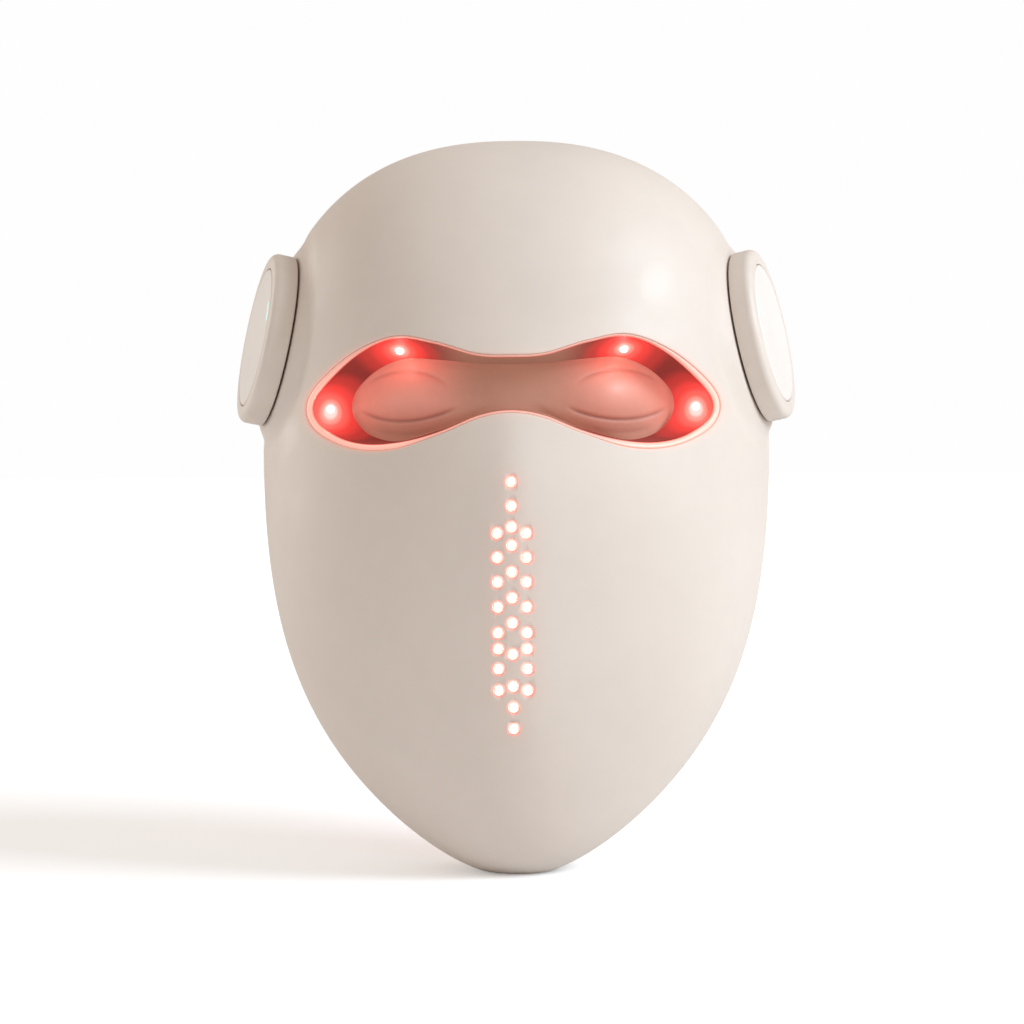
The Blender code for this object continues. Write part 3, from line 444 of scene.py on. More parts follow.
# ------------ materials
class Look:
    """A material's node tree with short calls for the nodes that the finishes share."""

    def __init__(self, name, colour, roughness, **plain):
        self.material = bpy.data.materials.new(name)
        self.material.use_nodes = True
        self.tree = self.material.node_tree
        self.shader = self.tree.nodes["Principled BSDF"]
        self.shader.inputs["Base Color"].default_value = (*colour, 1.0)
        self.shader.inputs["Roughness"].default_value = roughness
        for socket, value in plain.items():
            self.shader.inputs[socket.replace("_", " ")].default_value = value
        self.place = self.node("ShaderNodeTexCoord").outputs["Object"]

    def node(self, kind, **settings):
        made = self.tree.nodes.new(kind)
        for key, value in settings.items():
            setattr(made, key, value)
        return made

    def feed(self, socket, value):
        if isinstance(value, bpy.types.NodeSocket):
            self.tree.links.new(value, socket)
        elif isinstance(value, (tuple, list)) and socket.type == "RGBA" and len(value) == 3:
            socket.default_value = (*value, 1.0)
        else:
            socket.default_value = value

    def math(self, operation, a, b=0.0):
        made = self.node("ShaderNodeMath", operation=operation)
        self.feed(made.inputs[0], a)
        self.feed(made.inputs[1], b)
        return made.outputs[0]

    def mix(self, share, a, b):
        made = self.node("ShaderNodeMix", data_type="RGBA")
        self.feed(made.inputs[0], share)
        self.feed(made.inputs[6], a)
        self.feed(made.inputs[7], b)
        return made.outputs[2]

    def noise(self, scale, detail=2.0, place=None):
        made = self.node("ShaderNodeTexNoise")
        made.inputs["Scale"].default_value = scale
        made.inputs["Detail"].default_value = detail
        self.feed(made.inputs["Vector"], place or self.place)
        return made.outputs["Fac"]

    def between(self, value, low, high, to_low=0.0, to_high=1.0, curve="SMOOTHSTEP"):
        made = self.node("ShaderNodeMapRange", interpolation_type=curve)
        self.feed(made.inputs["Value"], value)
        for socket, number in zip(("From Min", "From Max", "To Min", "To Max"), (low, high, to_low, to_high)):
            made.inputs[socket].default_value = number
        return made.outputs["Result"]

    def ramp(self, value, stops):
        made = self.node("ShaderNodeValToRGB")
        ramp = made.color_ramp
        ramp.interpolation = "EASE"
        while len(ramp.elements) < len(stops):
            ramp.elements.new(0.5)
        for element, (at, colour) in zip(ramp.elements, stops):
            element.position = at
            element.color = (*colour, 1.0)
        self.feed(made.inputs[0], value)
        return made.outputs["Color"]

    def attribute(self, name):
        return self.node("ShaderNodeAttribute", attribute_name=name).outputs["Fac"]

    def split(self, place):
        """The x, y and z of a place."""
        made = self.node("ShaderNodeSeparateXYZ")
        self.feed(made.inputs[0], place)
        return made.outputs

    def folded(self, flat=False):
        """Object coordinates with the left half mirrored onto the right, and y dropped if flat."""
        x, y, z = self.split(self.place)
        join = self.node("ShaderNodeCombineXYZ")
        self.feed(join.inputs[0], self.math("ABSOLUTE", x))
        if not flat:
            self.feed(join.inputs[1], y)
        self.feed(join.inputs[2], z)
        return join.outputs[0]

    def apart(self, place, point):
        made = self.node("ShaderNodeVectorMath", operation="DISTANCE")
        self.feed(made.inputs[0], place)
        made.inputs[1].default_value = point
        return made.outputs["Value"]

    def set(self, socket, value):
        self.feed(self.shader.inputs[socket], value)
        return self

    def mottled(self, colour, spread, coarse=26.0, fine=150.0):
        """Soft cloudy colour variation about a colour."""
        clouds = self.math("ADD", self.math("MULTIPLY", self.noise(coarse, 3.0), 0.65),
                           self.math("MULTIPLY", self.noise(fine, 3.0), 0.35))
        light = tuple(min(1.0, channel * (1.0 + spread)) for channel in colour)
        dark = tuple(channel * (1.0 - spread) for channel in colour)
        return self.mix(self.between(clouds, 0.34, 0.66), dark, light)

    def grained(self, scale, strength, depth=0.0002):
        """Fine moulded grain as bump."""
        made = self.node("ShaderNodeBump")
        made.inputs["Strength"].default_value = strength
        made.inputs["Distance"].default_value = depth
        self.feed(made.inputs["Height"], self.noise(scale, 4.0))
        return self.set("Normal", made.outputs["Normal"])

    def uneven(self, middle, spread, scale=60.0):
        """Roughness that varies softly."""
        value = self.between(self.noise(scale), 0.3, 0.7, middle - spread, middle + spread)
        return self.set("Roughness", value)


OAT = (0.722, 0.628, 0.555)
# colour of the painted glow round each nose light on the shell
PAINTED_GLOW_CORAL = (0.95, 0.30, 0.235)
BOARD_PITCH = 0.0095            # spacing of the lights that glow through the inner panel


def light_points(look):
    """Distance to the closest nose light, seen from the front."""
    place = look.folded(flat=True)
    spots = [(0.0, z) for z in LIGHT_HEIGHTS_CENTRE] + [(LIGHT_COLUMN_X, z) for z in LIGHT_HEIGHTS_SIDE]
    nearest = None
    for x, z in spots:
        apart = look.apart(place, (x, 0.0, z))
        nearest = apart if nearest is None else look.math("MINIMUM", nearest, apart)
    return nearest


def shell_look():
    look = Look("oat_shell", OAT, 0.52)
    base = look.mottled(OAT, 0.016)
    nearest = light_points(look)
    # painted light: a coral halo and a wider pink spill round each nose light, in the base colour and as
    # emission
    halo = look.between(nearest, 0.0026, 0.0013)
    painted_spill = look.between(nearest, 0.0075, 0.0014)
    # painted light: along the eye opening's edge the base colour turns pink and the shell glows, where the
    # eye lights spill onto it
    lip = look.attribute("lip")
    base = look.mix(look.math("MULTIPLY", painted_spill, 0.16), base, (0.86, 0.50, 0.42))
    base = look.mix(look.math("MULTIPLY", halo, 0.85), base, PAINTED_GLOW_CORAL)
    base = look.mix(lip, base, (0.86, 0.55, 0.46))
    look.set("Base Color", base)
    look.set("Emission Color", look.mix(lip, (0.62, 0.10, 0.075), (0.50, 0.19, 0.145)))
    look.set("Emission Strength", look.math("MAXIMUM", look.math("MULTIPLY", halo, 0.85),
                                            look.math("MULTIPLY", lip, 0.34)))
    look.grained(900.0, 0.10)
    return look.uneven(0.50, 0.06).material


def plastic_look(name, colour, roughness=0.50, spread=0.03):
    look = Look(name, colour, roughness)
    look.set("Base Color", look.mottled(colour, spread))
    look.grained(900.0, 0.10)
    return look.uneven(roughness, 0.05).material


def rim_look():
    look = Look("pink_rim", (0.90, 0.50, 0.42), 0.35)
    across = look.attribute("across")
    wide = look.attribute("wide")
    # painted light: the rim glows across its width, brightest in a band near its inner edge, and more where
    # it is wide
    look.set("Emission Color", look.ramp(across, (
        (0.0, (0.42, 0.21, 0.16)), (0.45, (0.62, 0.26, 0.20)), (0.80, (0.98, 0.46, 0.36)),
        (1.0, (0.90, 0.22, 0.16)),
    )))
    # painted shade: the rim's glow is dimmer above z 0.160
    low = look.between(look.split(look.place)[2], 0.1600, 0.1480, 0.60, 1.0)
    look.set("Emission Strength", look.math("MULTIPLY", low, look.between(wide, 0.0, 1.0, 0.35, 0.64)))
    look.set("Base Color", look.mix(across, (0.80, 0.55, 0.47), (0.95, 0.42, 0.34)))
    look.grained(700.0, 0.05)
    return look.material


def funnel_front(steps):
    """Front face of the funnel: places in the front view, and how far each lies behind the skin."""
    outer = eye_edge(rim_width() + 0.0001)
    shares = np.linspace(0.0, 1.0, steps)
    places = outer[:, None, :] + (FUNNEL_EDGE - outer)[:, None, :] * shares[None, :, None]
    return places, FUNNEL_START + (BEZEL_DEPTH - FUNNEL_START) * shares ** 0.55


def light_depth(x, z):
    """How far behind the skin the funnel lies at a light."""
    places, depths = funnel_front(80)
    apart = np.hypot(places[..., 0] - x, places[..., 1] - z)
    return float(depths[np.unravel_index(apart.argmin(), apart.shape)[1]]) - LIGHT_STAND


def eye_light_places():
    made = []
    for x, z in EYE_LIGHTS:
        point = skin_at(x, z)
        made.append((float(point[0]), float(point[1]) + light_depth(x, z), float(point[2])))
    return made


def bezel_look():
    """Painted light of the eye lights on a dark red wall: red near each light, painted shade between the
    lights, and fading to the shield's colour at the bridge.
    """
    look = Look("red_bezel", (0.30, 0.03, 0.025), 0.55, Specular_IOR_Level=0.2)
    place = look.folded()
    first, second = (look.apart(place, point) for point in eye_light_places())
    x, y, z = look.split(place)
    low = look.between(z, 0.1480, 0.1370)
    nearest = look.math("MINIMUM", first, second)
    # painted light: the lower part is drawn nearer the lights, so it glows brighter
    nearest = look.math("SUBTRACT", nearest, look.math("MULTIPLY", low, 0.0035))
    glow = look.ramp(look.between(nearest, 0.0, 0.0200, curve="LINEAR"), (
        (0.06, (1.0, 0.80, 0.74)), (0.11, (1.0, 0.36, 0.29)), (0.18, (0.98, 0.13, 0.10)),
        (0.31, (0.76, 0.046, 0.038)), (0.50, (0.38, 0.030, 0.025)), (0.73, (0.082, 0.018, 0.015)),
    ))
    # toward the bridge the painted glow turns dim and brown, and the base colour fades to the shield's
    middle = look.between(x, 0.0260, 0.0120)
    look.set("Emission Color", look.mix(middle, glow, (0.150, 0.066, 0.043)))
    look.set("Emission Strength", 0.9)
    look.set("Base Color", look.mix(middle, look.mottled((0.24, 0.030, 0.026), 0.06), (0.30, 0.16, 0.12)))
    look.grained(700.0, 0.03)
    return look.uneven(0.55, 0.04).material


def shield_look():
    look = Look("shield_silicone", (0.50, 0.27, 0.21), 0.50)
    base = look.mottled((0.42, 0.21, 0.155), 0.04, coarse=90.0, fine=500.0)
    # painted shade: the lid line and folds are darker in the base colour and glow less
    crease_shade = look.attribute("crease_shade")
    look.set("Base Color", look.mix(look.math("MULTIPLY", crease_shade, 0.45), base, (0.22, 0.085, 0.07)))
    # painted light: the whole shield glows dimly, and more on the upper outer side of each eye, near the eye
    # lights
    x, y, z = look.split(look.folded())
    side = look.between(x, 0.008, 0.028)
    high = look.between(z, 0.1330, 0.1560)
    share = look.math("MULTIPLY", side, high)
    look.set("Emission Color", look.mix(share, (0.150, 0.068, 0.044), (0.46, 0.125, 0.098)))
    look.set("Emission Strength", look.between(crease_shade, 0.0, 1.0, 1.0, 0.55))
    look.grained(1300.0, 0.12)
    return look.uneven(0.50, 0.05).material


def glowing(name, colour, strength, base=None, roughness=0.3):
    look = Look(name, base or colour, roughness)
    look.set("Emission Color", look.mottled(colour, 0.02, coarse=300.0, fine=900.0))
    look.set("Emission Strength", strength)
    return look.material


def panel_look():
    """Frosted panel, with the board's lights glowing softly through it."""
    look = Look("frosted_panel", (0.88, 0.80, 0.76), 0.42)
    look.set("Base Color", look.mottled((0.86, 0.77, 0.73), 0.03))
    x, y, z = look.split(look.place)
    steps = []
    for along in (x, z):
        cell = look.math("FRACT", look.math("ADD", look.math("DIVIDE", along, BOARD_PITCH), 40.5))
        steps.append(look.math("POWER", look.math("ABSOLUTE", look.math("SUBTRACT", cell, 0.5)), 2.0))
    apart = look.math("SQRT", look.math("ADD", steps[0], steps[1]))
    spot = look.between(apart, 0.30, 0.06)
    front = look.between(y, 0.016, -0.004)
    share = look.math("MULTIPLY", spot, front)
    look.set("Emission Color", look.mix(spot, (0.30, 0.035, 0.028), (1.0, 0.20, 0.14)))
    look.set("Emission Strength", look.math("ADD", look.math("MULTIPLY", share, 0.8),
                                            look.math("MULTIPLY", front, 0.22)))
    look.grained(1100.0, 0.08)
    return look.uneven(0.40, 0.05).material


def metal_look(name, colour, roughness):
    look = Look(name, colour, roughness, Metallic=1.0)
    look.set("Base Color", look.mottled(colour, 0.05, coarse=300.0, fine=1500.0))
    return look.uneven(roughness, 0.06, scale=900.0).material


# ------------ shell and eye opening
def light_places():
    places = [(0.0, z) for z in LIGHT_HEIGHTS_CENTRE]
    for side in (-1, 1):
        places += [(side * LIGHT_COLUMN_X, z) for z in LIGHT_HEIGHTS_SIDE]
    return places


def rim_share(points):
    """How wide the lit rim is at points of the opening: 1 at the outer ends and 0 at the bridge and brow."""
    across, height = np.abs(points[..., 0]), points[..., 1]
    outer = smoothstep(0.036, 0.058, across)
    low = 0.78 * smoothstep(0.1450, 0.1385, height) * smoothstep(0.020, 0.036, across)
    return np.maximum(outer, low)


LIGHT_HOLE = (                  # radius and height of the cutter for a nose light's hole, flared at the skin
    (0.0, -0.0060), (0.00140, -0.0060), (0.00140, -0.0006), (0.00150, -0.0003), (0.00172, 0.0),
    (0.00230, 0.0007), (0.0, 0.0007),
)


def make_shell():
    """The shell's wall, one section per face angle: lip, front, skirt, rear lip and back along the inside."""
    lip = 0.0007
    bend = np.radians((90.0, 70.0, 50.0, 30.0, 15.0))
    near = np.array((0.0003, 0.0007, 0.0012, 0.0018, 0.0026, 0.0038))
    opening = polar(EYE, COLUMN)
    radii = [opening + lip * (1.0 - math.sin(turn)) for turn in bend]
    insets = [lip * (1.0 - math.cos(turn)) for turn in bend]
    radii += [opening + lip + step for step in near]
    insets += [0.0] * len(near)
    columns = [arc_at(COLUMN, radius, inset) for radius, inset in zip(radii, insets)]
    first = columns[-1]
    front = np.linspace(0.0, 1.0, FRONT_STEPS + 1)[None, 1:]
    columns.append(first + (1.0 - first) * front)
    insets += [0.0] * FRONT_STEPS
    skirt = np.linspace(1.0, 1.96, 9)[1:]
    rear = ((1.985, 0.0002), (2.0, 0.0009), (2.0, 0.0016), (1.985, 0.0023))
    inner = np.linspace(1.95, 1.0, 6)
    for arc, inset in [(a, 0.0) for a in skirt] + list(rear) + [(a, SHELL_WALL) for a in inner]:
        columns.append(np.full_like(COLUMN, arc))
        insets.append(inset)
    back = arc_at(COLUMN, opening, SHELL_WALL)
    inside = np.linspace(1.0, 0.0, 30)[None, 1:]
    columns.append(back + (1.0 - back) * inside)
    insets += [SHELL_WALL] * inside.shape[1]
    arcs = np.concatenate(columns, axis=1)
    insets = np.array(insets)[None, :]
    rows = collared(skin(COLUMN, arcs, insets), insets)
    shell = looped("mask_shell", rows, MATERIALS["shell"], "mask")
    # the lip attribute paints light: a glow along the eye opening's edge on the shell, stronger where the lit
    # rim is wide, and none on the inside
    apart = np.hypot(rows[..., 0] - EYE_EDGE[:, None, 0], rows[..., 2] - EYE_EDGE[:, None, 1])
    strength = (0.25 + 0.75 * rim_share(EYE_EDGE))[:, None]
    glow = strength * np.exp(-(apart / 0.0012) ** 1.2)
    glow[:, len(bend) + len(near) + FRONT_STEPS + 6:] = 0.0
    paint(shell, "lip", glow.ravel())
    cut(shell, *repeated(LIGHT_HOLE, 24, [facing(x, z) for x, z in light_places()]))
    cut(shell, *repeated(rod(HUB_HOLE_RADIUS, -0.010, 0.010), 32, POD_FRAMES.values()))
    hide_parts("outer_shell")


def eye_edge(inward):
    """Front-view points a given way inside the opening, square to its edge, for every face angle."""
    step = 0.01
    along = eye_curve(EYE[2], ANGLES + step) - eye_curve(EYE[2], ANGLES - step)
    square = np.stack((-along[:, 1], along[:, 0]), axis=-1)
    square /= np.linalg.norm(square, axis=-1, keepdims=True)
    return EYE_EDGE + square * np.asarray(inward).reshape(-1, 1)


def behind_skin(places, behind):
    points = skin_at(places[..., 0], places[..., 1])
    points[..., 1] += behind
    return points


def rim_width():
    return RIM_WIDTH * (0.34 + 0.66 * rim_share(EYE_EDGE))


def make_eye_rim():
    """Translucent lip: a rounded front face between the shell's edge and the funnel."""
    width = rim_width()
    section = ((0.02, 0.0060), (0.02, 0.0009), (0.12, 0.0005), (0.30, 0.0004), (0.50, 0.0005), (0.70, 0.0008),
               (0.86, 0.0013), (0.96, 0.0020), (1.0, 0.0030), (1.0, 0.0060))
    rows = [behind_skin(eye_edge(width * share), depth) for share, depth in section]
    rim = looped("lit_eye_rim", np.stack(rows, axis=1), MATERIALS["rim"], "mask")
    # across and wide steer the rim's painted glow
    across = np.tile([share for share, depth in section], FACE_STEPS)
    paint(rim, "across", across)
    paint(rim, "wide", np.repeat(rim_share(EYE_EDGE), len(section)))
    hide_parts("eye_rim")


def make_eye_bezel():
    """Concave red funnel from the lip to the shield."""
    places, depths = funnel_front(22)
    front = [behind_skin(places[:, k], depth) for k, depth in enumerate(depths)]
    back = [behind_skin(places[:, k], depth + BEZEL_WALL) for k, depth in enumerate(depths)]
    rows = np.stack(front + back[::-1], axis=1)
    bezel = looped("red_bezel", rows, MATERIALS["bezel"], "mask", sharp=40)
    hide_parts("eye_bezel")


def make_eye_lights():
    """Each light is a small bright dome in the funnel."""
    dome_points, dome_faces = capped_lathe(domed(EYE_LIGHT_RADIUS, -0.0030, 0.0, 8), 32)
    for side, sign in (("left", -1), ("right", 1)):
        for place, (x, z) in zip(("upper", "outer"), EYE_LIGHTS):
            matrix = facing(sign * x, z)
            matrix.translation.y += light_depth(x, z)
            name = f"eye_led_{place}_{side}"
            lens = add_mesh(f"lens_{place}_{side}", moved(matrix, dome_points), dome_faces,
                            MATERIALS["light"], "mask")
            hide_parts(name)


LID_LINE = ((0.0160, 0.1462), (0.0215, 0.1441), (0.0315, 0.1424), (0.0410, 0.1437), (0.0470, 0.1466))
LID_FOLD = ((0.0175, 0.1512), (0.0235, 0.1556), (0.0315, 0.1570), (0.0395, 0.1556), (0.0460, 0.1512))
LOWER_FOLD = ((0.0195, 0.1412), (0.0315, 0.1387), (0.0430, 0.1408))
FURROWS = (                     # curve, width, depth and darkness of the painted shade in it
    (LID_LINE, 0.00060, 0.0006, 1.0), (LID_FOLD, 0.00070, 0.0004, 0.55), (LOWER_FOLD, 0.00090, 0.0002, 0.30),
)


def curve_apart(places, knots):
    """Distance from front-view places to a smooth curve on the nearer eye, and a fade toward its ends."""
    knots = np.array(knots)
    t = np.linspace(0.0, 1.0, len(knots))
    fine = np.linspace(0.0, 1.0, 120)
    fits = [np.polyfit(t, knots[:, axis], len(knots) - 1) for axis in (0, 1)]
    line = np.stack([np.polyval(fit, fine) for fit in fits], axis=-1)
    near = np.stack((np.abs(places[..., 0]), places[..., 1]), axis=-1)
    gaps = np.linalg.norm(near[..., None, :] - line, axis=-1)
    along = fine[gaps.argmin(axis=-1)]
    return gaps.min(axis=-1), smoothstep(0.0, 0.25, along) * smoothstep(0.0, 0.25, 1.0 - along)


def furrow(places, knots, width):
    """How deep a furrow is at front-view places: it fades out at both ends."""
    apart, fade = curve_apart(places, knots)
    return fade * np.exp(-(apart / width) ** 2)


def lid_rise(places):
    """Generic closed lids: how far a rounded dome lifts the shield forward."""
    across = (np.abs(places[..., 0]) - EYE_CENTRE_X) / LID_DOME[0]
    up = (places[..., 1] - EYE_CENTRE_Z) / LID_DOME[1]
    return LID_DOME[2] * np.exp(-1.2 * (across * across + up * up))


def make_eye_shield():
    """Soft shield with two closed-lid domes, a lid line, an upper fold and a faint lower fold in each."""
    shares = np.concatenate((np.linspace(0.02, 1.0, 92), (1.12, 1.3, 1.5, 1.75, 2.0)))
    pole = np.array((0.0, POLE_HEIGHT))
    front = []
    for share in shares:
        place = pole + (FUNNEL_EDGE - pole) * min(share, 1.0)
        rise = lid_rise(place) * (1.0 - min(share, 1.0) ** 4)
        points = behind_skin(place, SHIELD_DEPTH)
        points[:, 1] -= rise
        if share > 1.0:
            lap = eye_edge(-SHIELD_FLANGE)
            lapped = skin_at(lap[:, 0], lap[:, 1], PAD_INSET)
            points = points + (lapped - points) * (share - 1.0)
        front.append(points)
    front = np.stack(front, axis=1)
    places = front[..., (0, 2)]
    inside = (shares < 0.97)[None, :]
    furrows = [(furrow(places, curve, width), depth, dark) for curve, width, depth, dark in FURROWS]
    # strength of the painted shade in the lid line and folds
    crease_shade = np.where(inside, np.max([dark * share for share, depth, dark in furrows], axis=0), 0.0)
    front[..., 1] += np.where(inside, sum(depth * share for share, depth, dark in furrows), 0.0)
    back = front.copy()
    back[..., 1] += SHIELD_WALL
    rows = np.concatenate((front, back[:, ::-1]), axis=1)
    points, faces = capped(rows, front[:, 0].mean(axis=0), back[:, 0].mean(axis=0))
    shield = add_mesh("closed_eye_shield", points, faces, MATERIALS["shield"], "mask")
    paint(shield, "crease_shade", np.append(np.concatenate((crease_shade, np.zeros_like(crease_shade)), axis=1), (0.0, 0.0)))
    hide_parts("eye_shield")


def make_nose_lights():
    """Lens strip under the shell and a bright bead in each hole."""
    x = np.linspace(-STRIP_HALF_WIDTH, STRIP_HALF_WIDTH, 15)[None, :]
    x, z = np.broadcast_arrays(x, np.linspace(*STRIP_HEIGHTS, 90)[:, None])
    front, back = (skin_at(x, z, inset) for inset in STRIP_INSETS)
    rows = np.concatenate((front, back[:, ::-1]), axis=1)
    strip = add_mesh("nose_strip", rows, strip_faces(*rows.shape[:2]), MATERIALS["strip"], "mask",
                     sharp=40)
    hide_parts("nose_lens_strip")
    bead = domed(BEAD_RADIUS, -0.0040, -BEAD_SINK, 6)
    points, faces = repeated(bead, 20, [facing(x, z) for x, z in light_places()])
    add_mesh("nose_beads", points, faces, MATERIALS["bead"], "mask")


# ------------ inside of the mask
def make_panel():
    """Inner panel as a fine ring that follows the shell."""
    opening = polar(EYE, COLUMN) + 0.0008
    columns, insets = [], []
    for inset, order in ((PANEL_INSET, 1), (PANEL_INSET + PANEL_WALL, -1)):
        first = arc_at(COLUMN, opening, inset)
        arcs = np.concatenate((first + (1.0 - first) * np.linspace(0.0, 1.0, 36)[None, :],
                               np.broadcast_to((1.06, 1.12, 1.18, 1.25), (FACE_STEPS, 4))), axis=1)
        columns.append(arcs[:, ::order])
        insets += [inset] * arcs.shape[1]
    rows = skin(COLUMN, np.concatenate(columns, axis=1), np.array(insets)[None, :])
    panel = looped("frosted_panel", rows, MATERIALS["panel"], "mask", sharp=50)
    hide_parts("face_panel")


def make_pad(name, angles, arcs, depth, crown):
    """Crowned pad with a rounded edge and a sewn-looking welt, on the face side of the panel."""
    count = 41
    u = np.linspace(-1.0, 1.0, count)[:, None]
    v = np.linspace(-1.0, 1.0, count)[None, :]
    spread = 1.0 - 0.10 * v * v
    phi = np.radians(0.5 * (angles[0] + angles[1]) + 0.5 * (angles[1] - angles[0]) * u * spread)
    arc = 0.5 * (arcs[0] + arcs[1]) + 0.5 * (arcs[1] - arcs[0]) * v * (1.0 - 0.10 * u * u)
    edge = np.maximum(np.abs(u) ** 3, np.abs(v) ** 3)
    rounding = np.sqrt(np.maximum(0.0, 1.0 - edge ** 4))
    welt = 0.0005 * np.exp(-((np.maximum(np.abs(u), np.abs(v)) - 0.80) / 0.035) ** 2)
    body = (depth - crown * np.maximum(u * u, v * v)) * (0.35 + 0.65 * rounding) - welt
    low = skin(phi, arc, PAD_INSET)
    high = skin(phi, arc, PAD_INSET + body)
    rows = np.concatenate((low, high[:, ::-1]), axis=1)
    pad = add_mesh(f"soft_{name}", rows, strip_faces(*rows.shape[:2]), MATERIALS["pad"], "mask",
                   sharp=60)
    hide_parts(name)


PADS = (                        # name, face angles, arcs, depth and how far the crown falls to the edge
    ("forehead_pad", (62, 118), (0.46, 0.66), PAD_DEPTH, 0.003),
    ("nose_pad", (-104, -76), (0.12, 0.24), PAD_DEPTH - 0.003, 0.002),
    ("right_cheek_pad", (-52, -30), (0.64, 0.82), PAD_DEPTH, 0.003),
    ("left_cheek_pad", (210, 232), (0.64, 0.82), PAD_DEPTH, 0.003),
    ("chin_pad", (-104, -76), (0.70, 0.84), PAD_DEPTH, 0.003),
)


def make_edge_seal():
    """Soft gasket between the skirt and the panel, with a rounded lip toward the wearer."""
    low, high = SHELL_WALL + 2 * GAP, PANEL_INSET + PANEL_WALL
    section = (
        (1.40, low), (1.65, low), (1.86, low + 0.0002), (1.93, low + 0.0012), (1.95, low + 0.0028),
        (1.93, high - 0.0030), (1.87, high - 0.0014), (1.78, high - 0.0004), (1.68, high), (1.40, high),
    )
    arcs = np.array([arc for arc, inset in section])[None, :]
    insets = np.array([inset for arc, inset in section])[None, :]
    seal = looped("soft_edge_seal", skin(COLUMN, arcs, insets), MATERIALS["rubber"], "mask")
    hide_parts("edge_seal")


# ------------ pods
def housing_section():
    """Side wall with a soft foot, a rounded outer edge and a front flange."""
    inner = POD_RADIUS - POD_WALL
    r = POD_EDGE_RADIUS
    edge = arc_points((POD_RADIUS - r, POD_HEIGHT - r), r, 0.0, 90.0, 12)
    opening = BUTTON_RADIUS + GAP
    foot = arc_points((POD_RADIUS - EDGE_ROUND, POD_LIFT + EDGE_ROUND), EDGE_ROUND, -90.0, 0.0, 4)
    return [
        (inner, POD_LIFT), (POD_RADIUS - 0.0009, POD_LIFT), *foot,
        (POD_RADIUS, POD_LIFT + 0.0020), *edge, (opening + 0.0008, POD_HEIGHT),
        *arc_points((opening + 0.0003, POD_HEIGHT - 0.0003), 0.0003, 90.0, 180.0, 3),
        (opening, POD_HEIGHT - FLANGE_WALL), (inner, POD_HEIGHT - FLANGE_WALL),
    ]


def make_loop(side, sign, matrix):
    """Rounded frame behind the pod that takes the strap."""
    height, width = LOOP_SLOT
    low, high = LOOP_SPAN
    end = POD_RADIUS + GAP + width + LOOP_BAR
    turn = np.linspace(0.0, TAU, 96, endpoint=False)
    cos, sin = np.cos(turn), np.sin(turn)
    power = 2.0 / 5.0

    def rounded(near, far, half):
        x = (near + far) / 2 + (far - near) / 2 * np.sign(cos) * np.abs(cos) ** power
        return x, half * np.sign(sin) * np.abs(sin) ** power

    outer = rounded(POD_RADIUS - 0.0040, end, height / 2 + LOOP_BAR)
    inner = rounded(end - LOOP_BAR - width + 0.0003, end - LOOP_BAR, height / 2)
    r = 0.0009
    wall = [(0.0, low + r), (0.0, high - r)]
    edge = [(r * (1 - math.sin(t)), high - r + r * math.cos(t)) for t in np.radians((60, 30, 0))]
    under = [(at, low + high - z) for at, z in edge]
    ring = [(outer, -at, z) for at, z in wall + edge]
    ring += [(inner, at, z) for at, z in edge[::-1] + wall[::-1] + under]
    ring += [(outer, -at, z) for at, z in under[::-1]]
    rows = []
    for (x, y), push, z in ring:
        middle = x.mean()
        length = np.hypot(x - middle, y)
        rows.append(np.stack((sign * (x + (x - middle) / length * push), y + y / length * push,
                              np.full_like(x, z)), axis=-1))
    points = moved(matrix, np.stack(rows, axis=1))
    looped(f"{side}_strap_loop", points, MATERIALS["oat"], f"{side}_pod", sharp=50)


def bar_shape(width, low, high, spread, sign):
    """Short curved bar on the cover's front edge."""
    middle = math.radians(90.0 + sign * INDICATOR_PLACE)
    turn = middle + math.radians(spread) * np.linspace(-1.0, 1.0, 13)
    near, far = INDICATOR_RADIUS - width, INDICATOR_RADIUS + width
    section = ((near, low), (far, low), (far, high), (near, high))
    rows = np.array([[(r * math.cos(t), r * math.sin(t), z) for r, z in section] for t in turn])
    return rows.reshape(-1, 3), strip_faces(*rows.shape[:2])


def contact_matrix(angle):
    """Matrix in the pod frame, on the pod's side wall at an angle, whose Z points outward."""
    turn = math.radians(angle)
    out = Vector((math.cos(turn), math.sin(turn), 0.0))
    made = out.to_track_quat("Z", "Y").to_matrix().to_4x4()
    made.translation = out * POD_RADIUS + Vector((0.0, 0.0, CONTACT_HEIGHT))
    return made


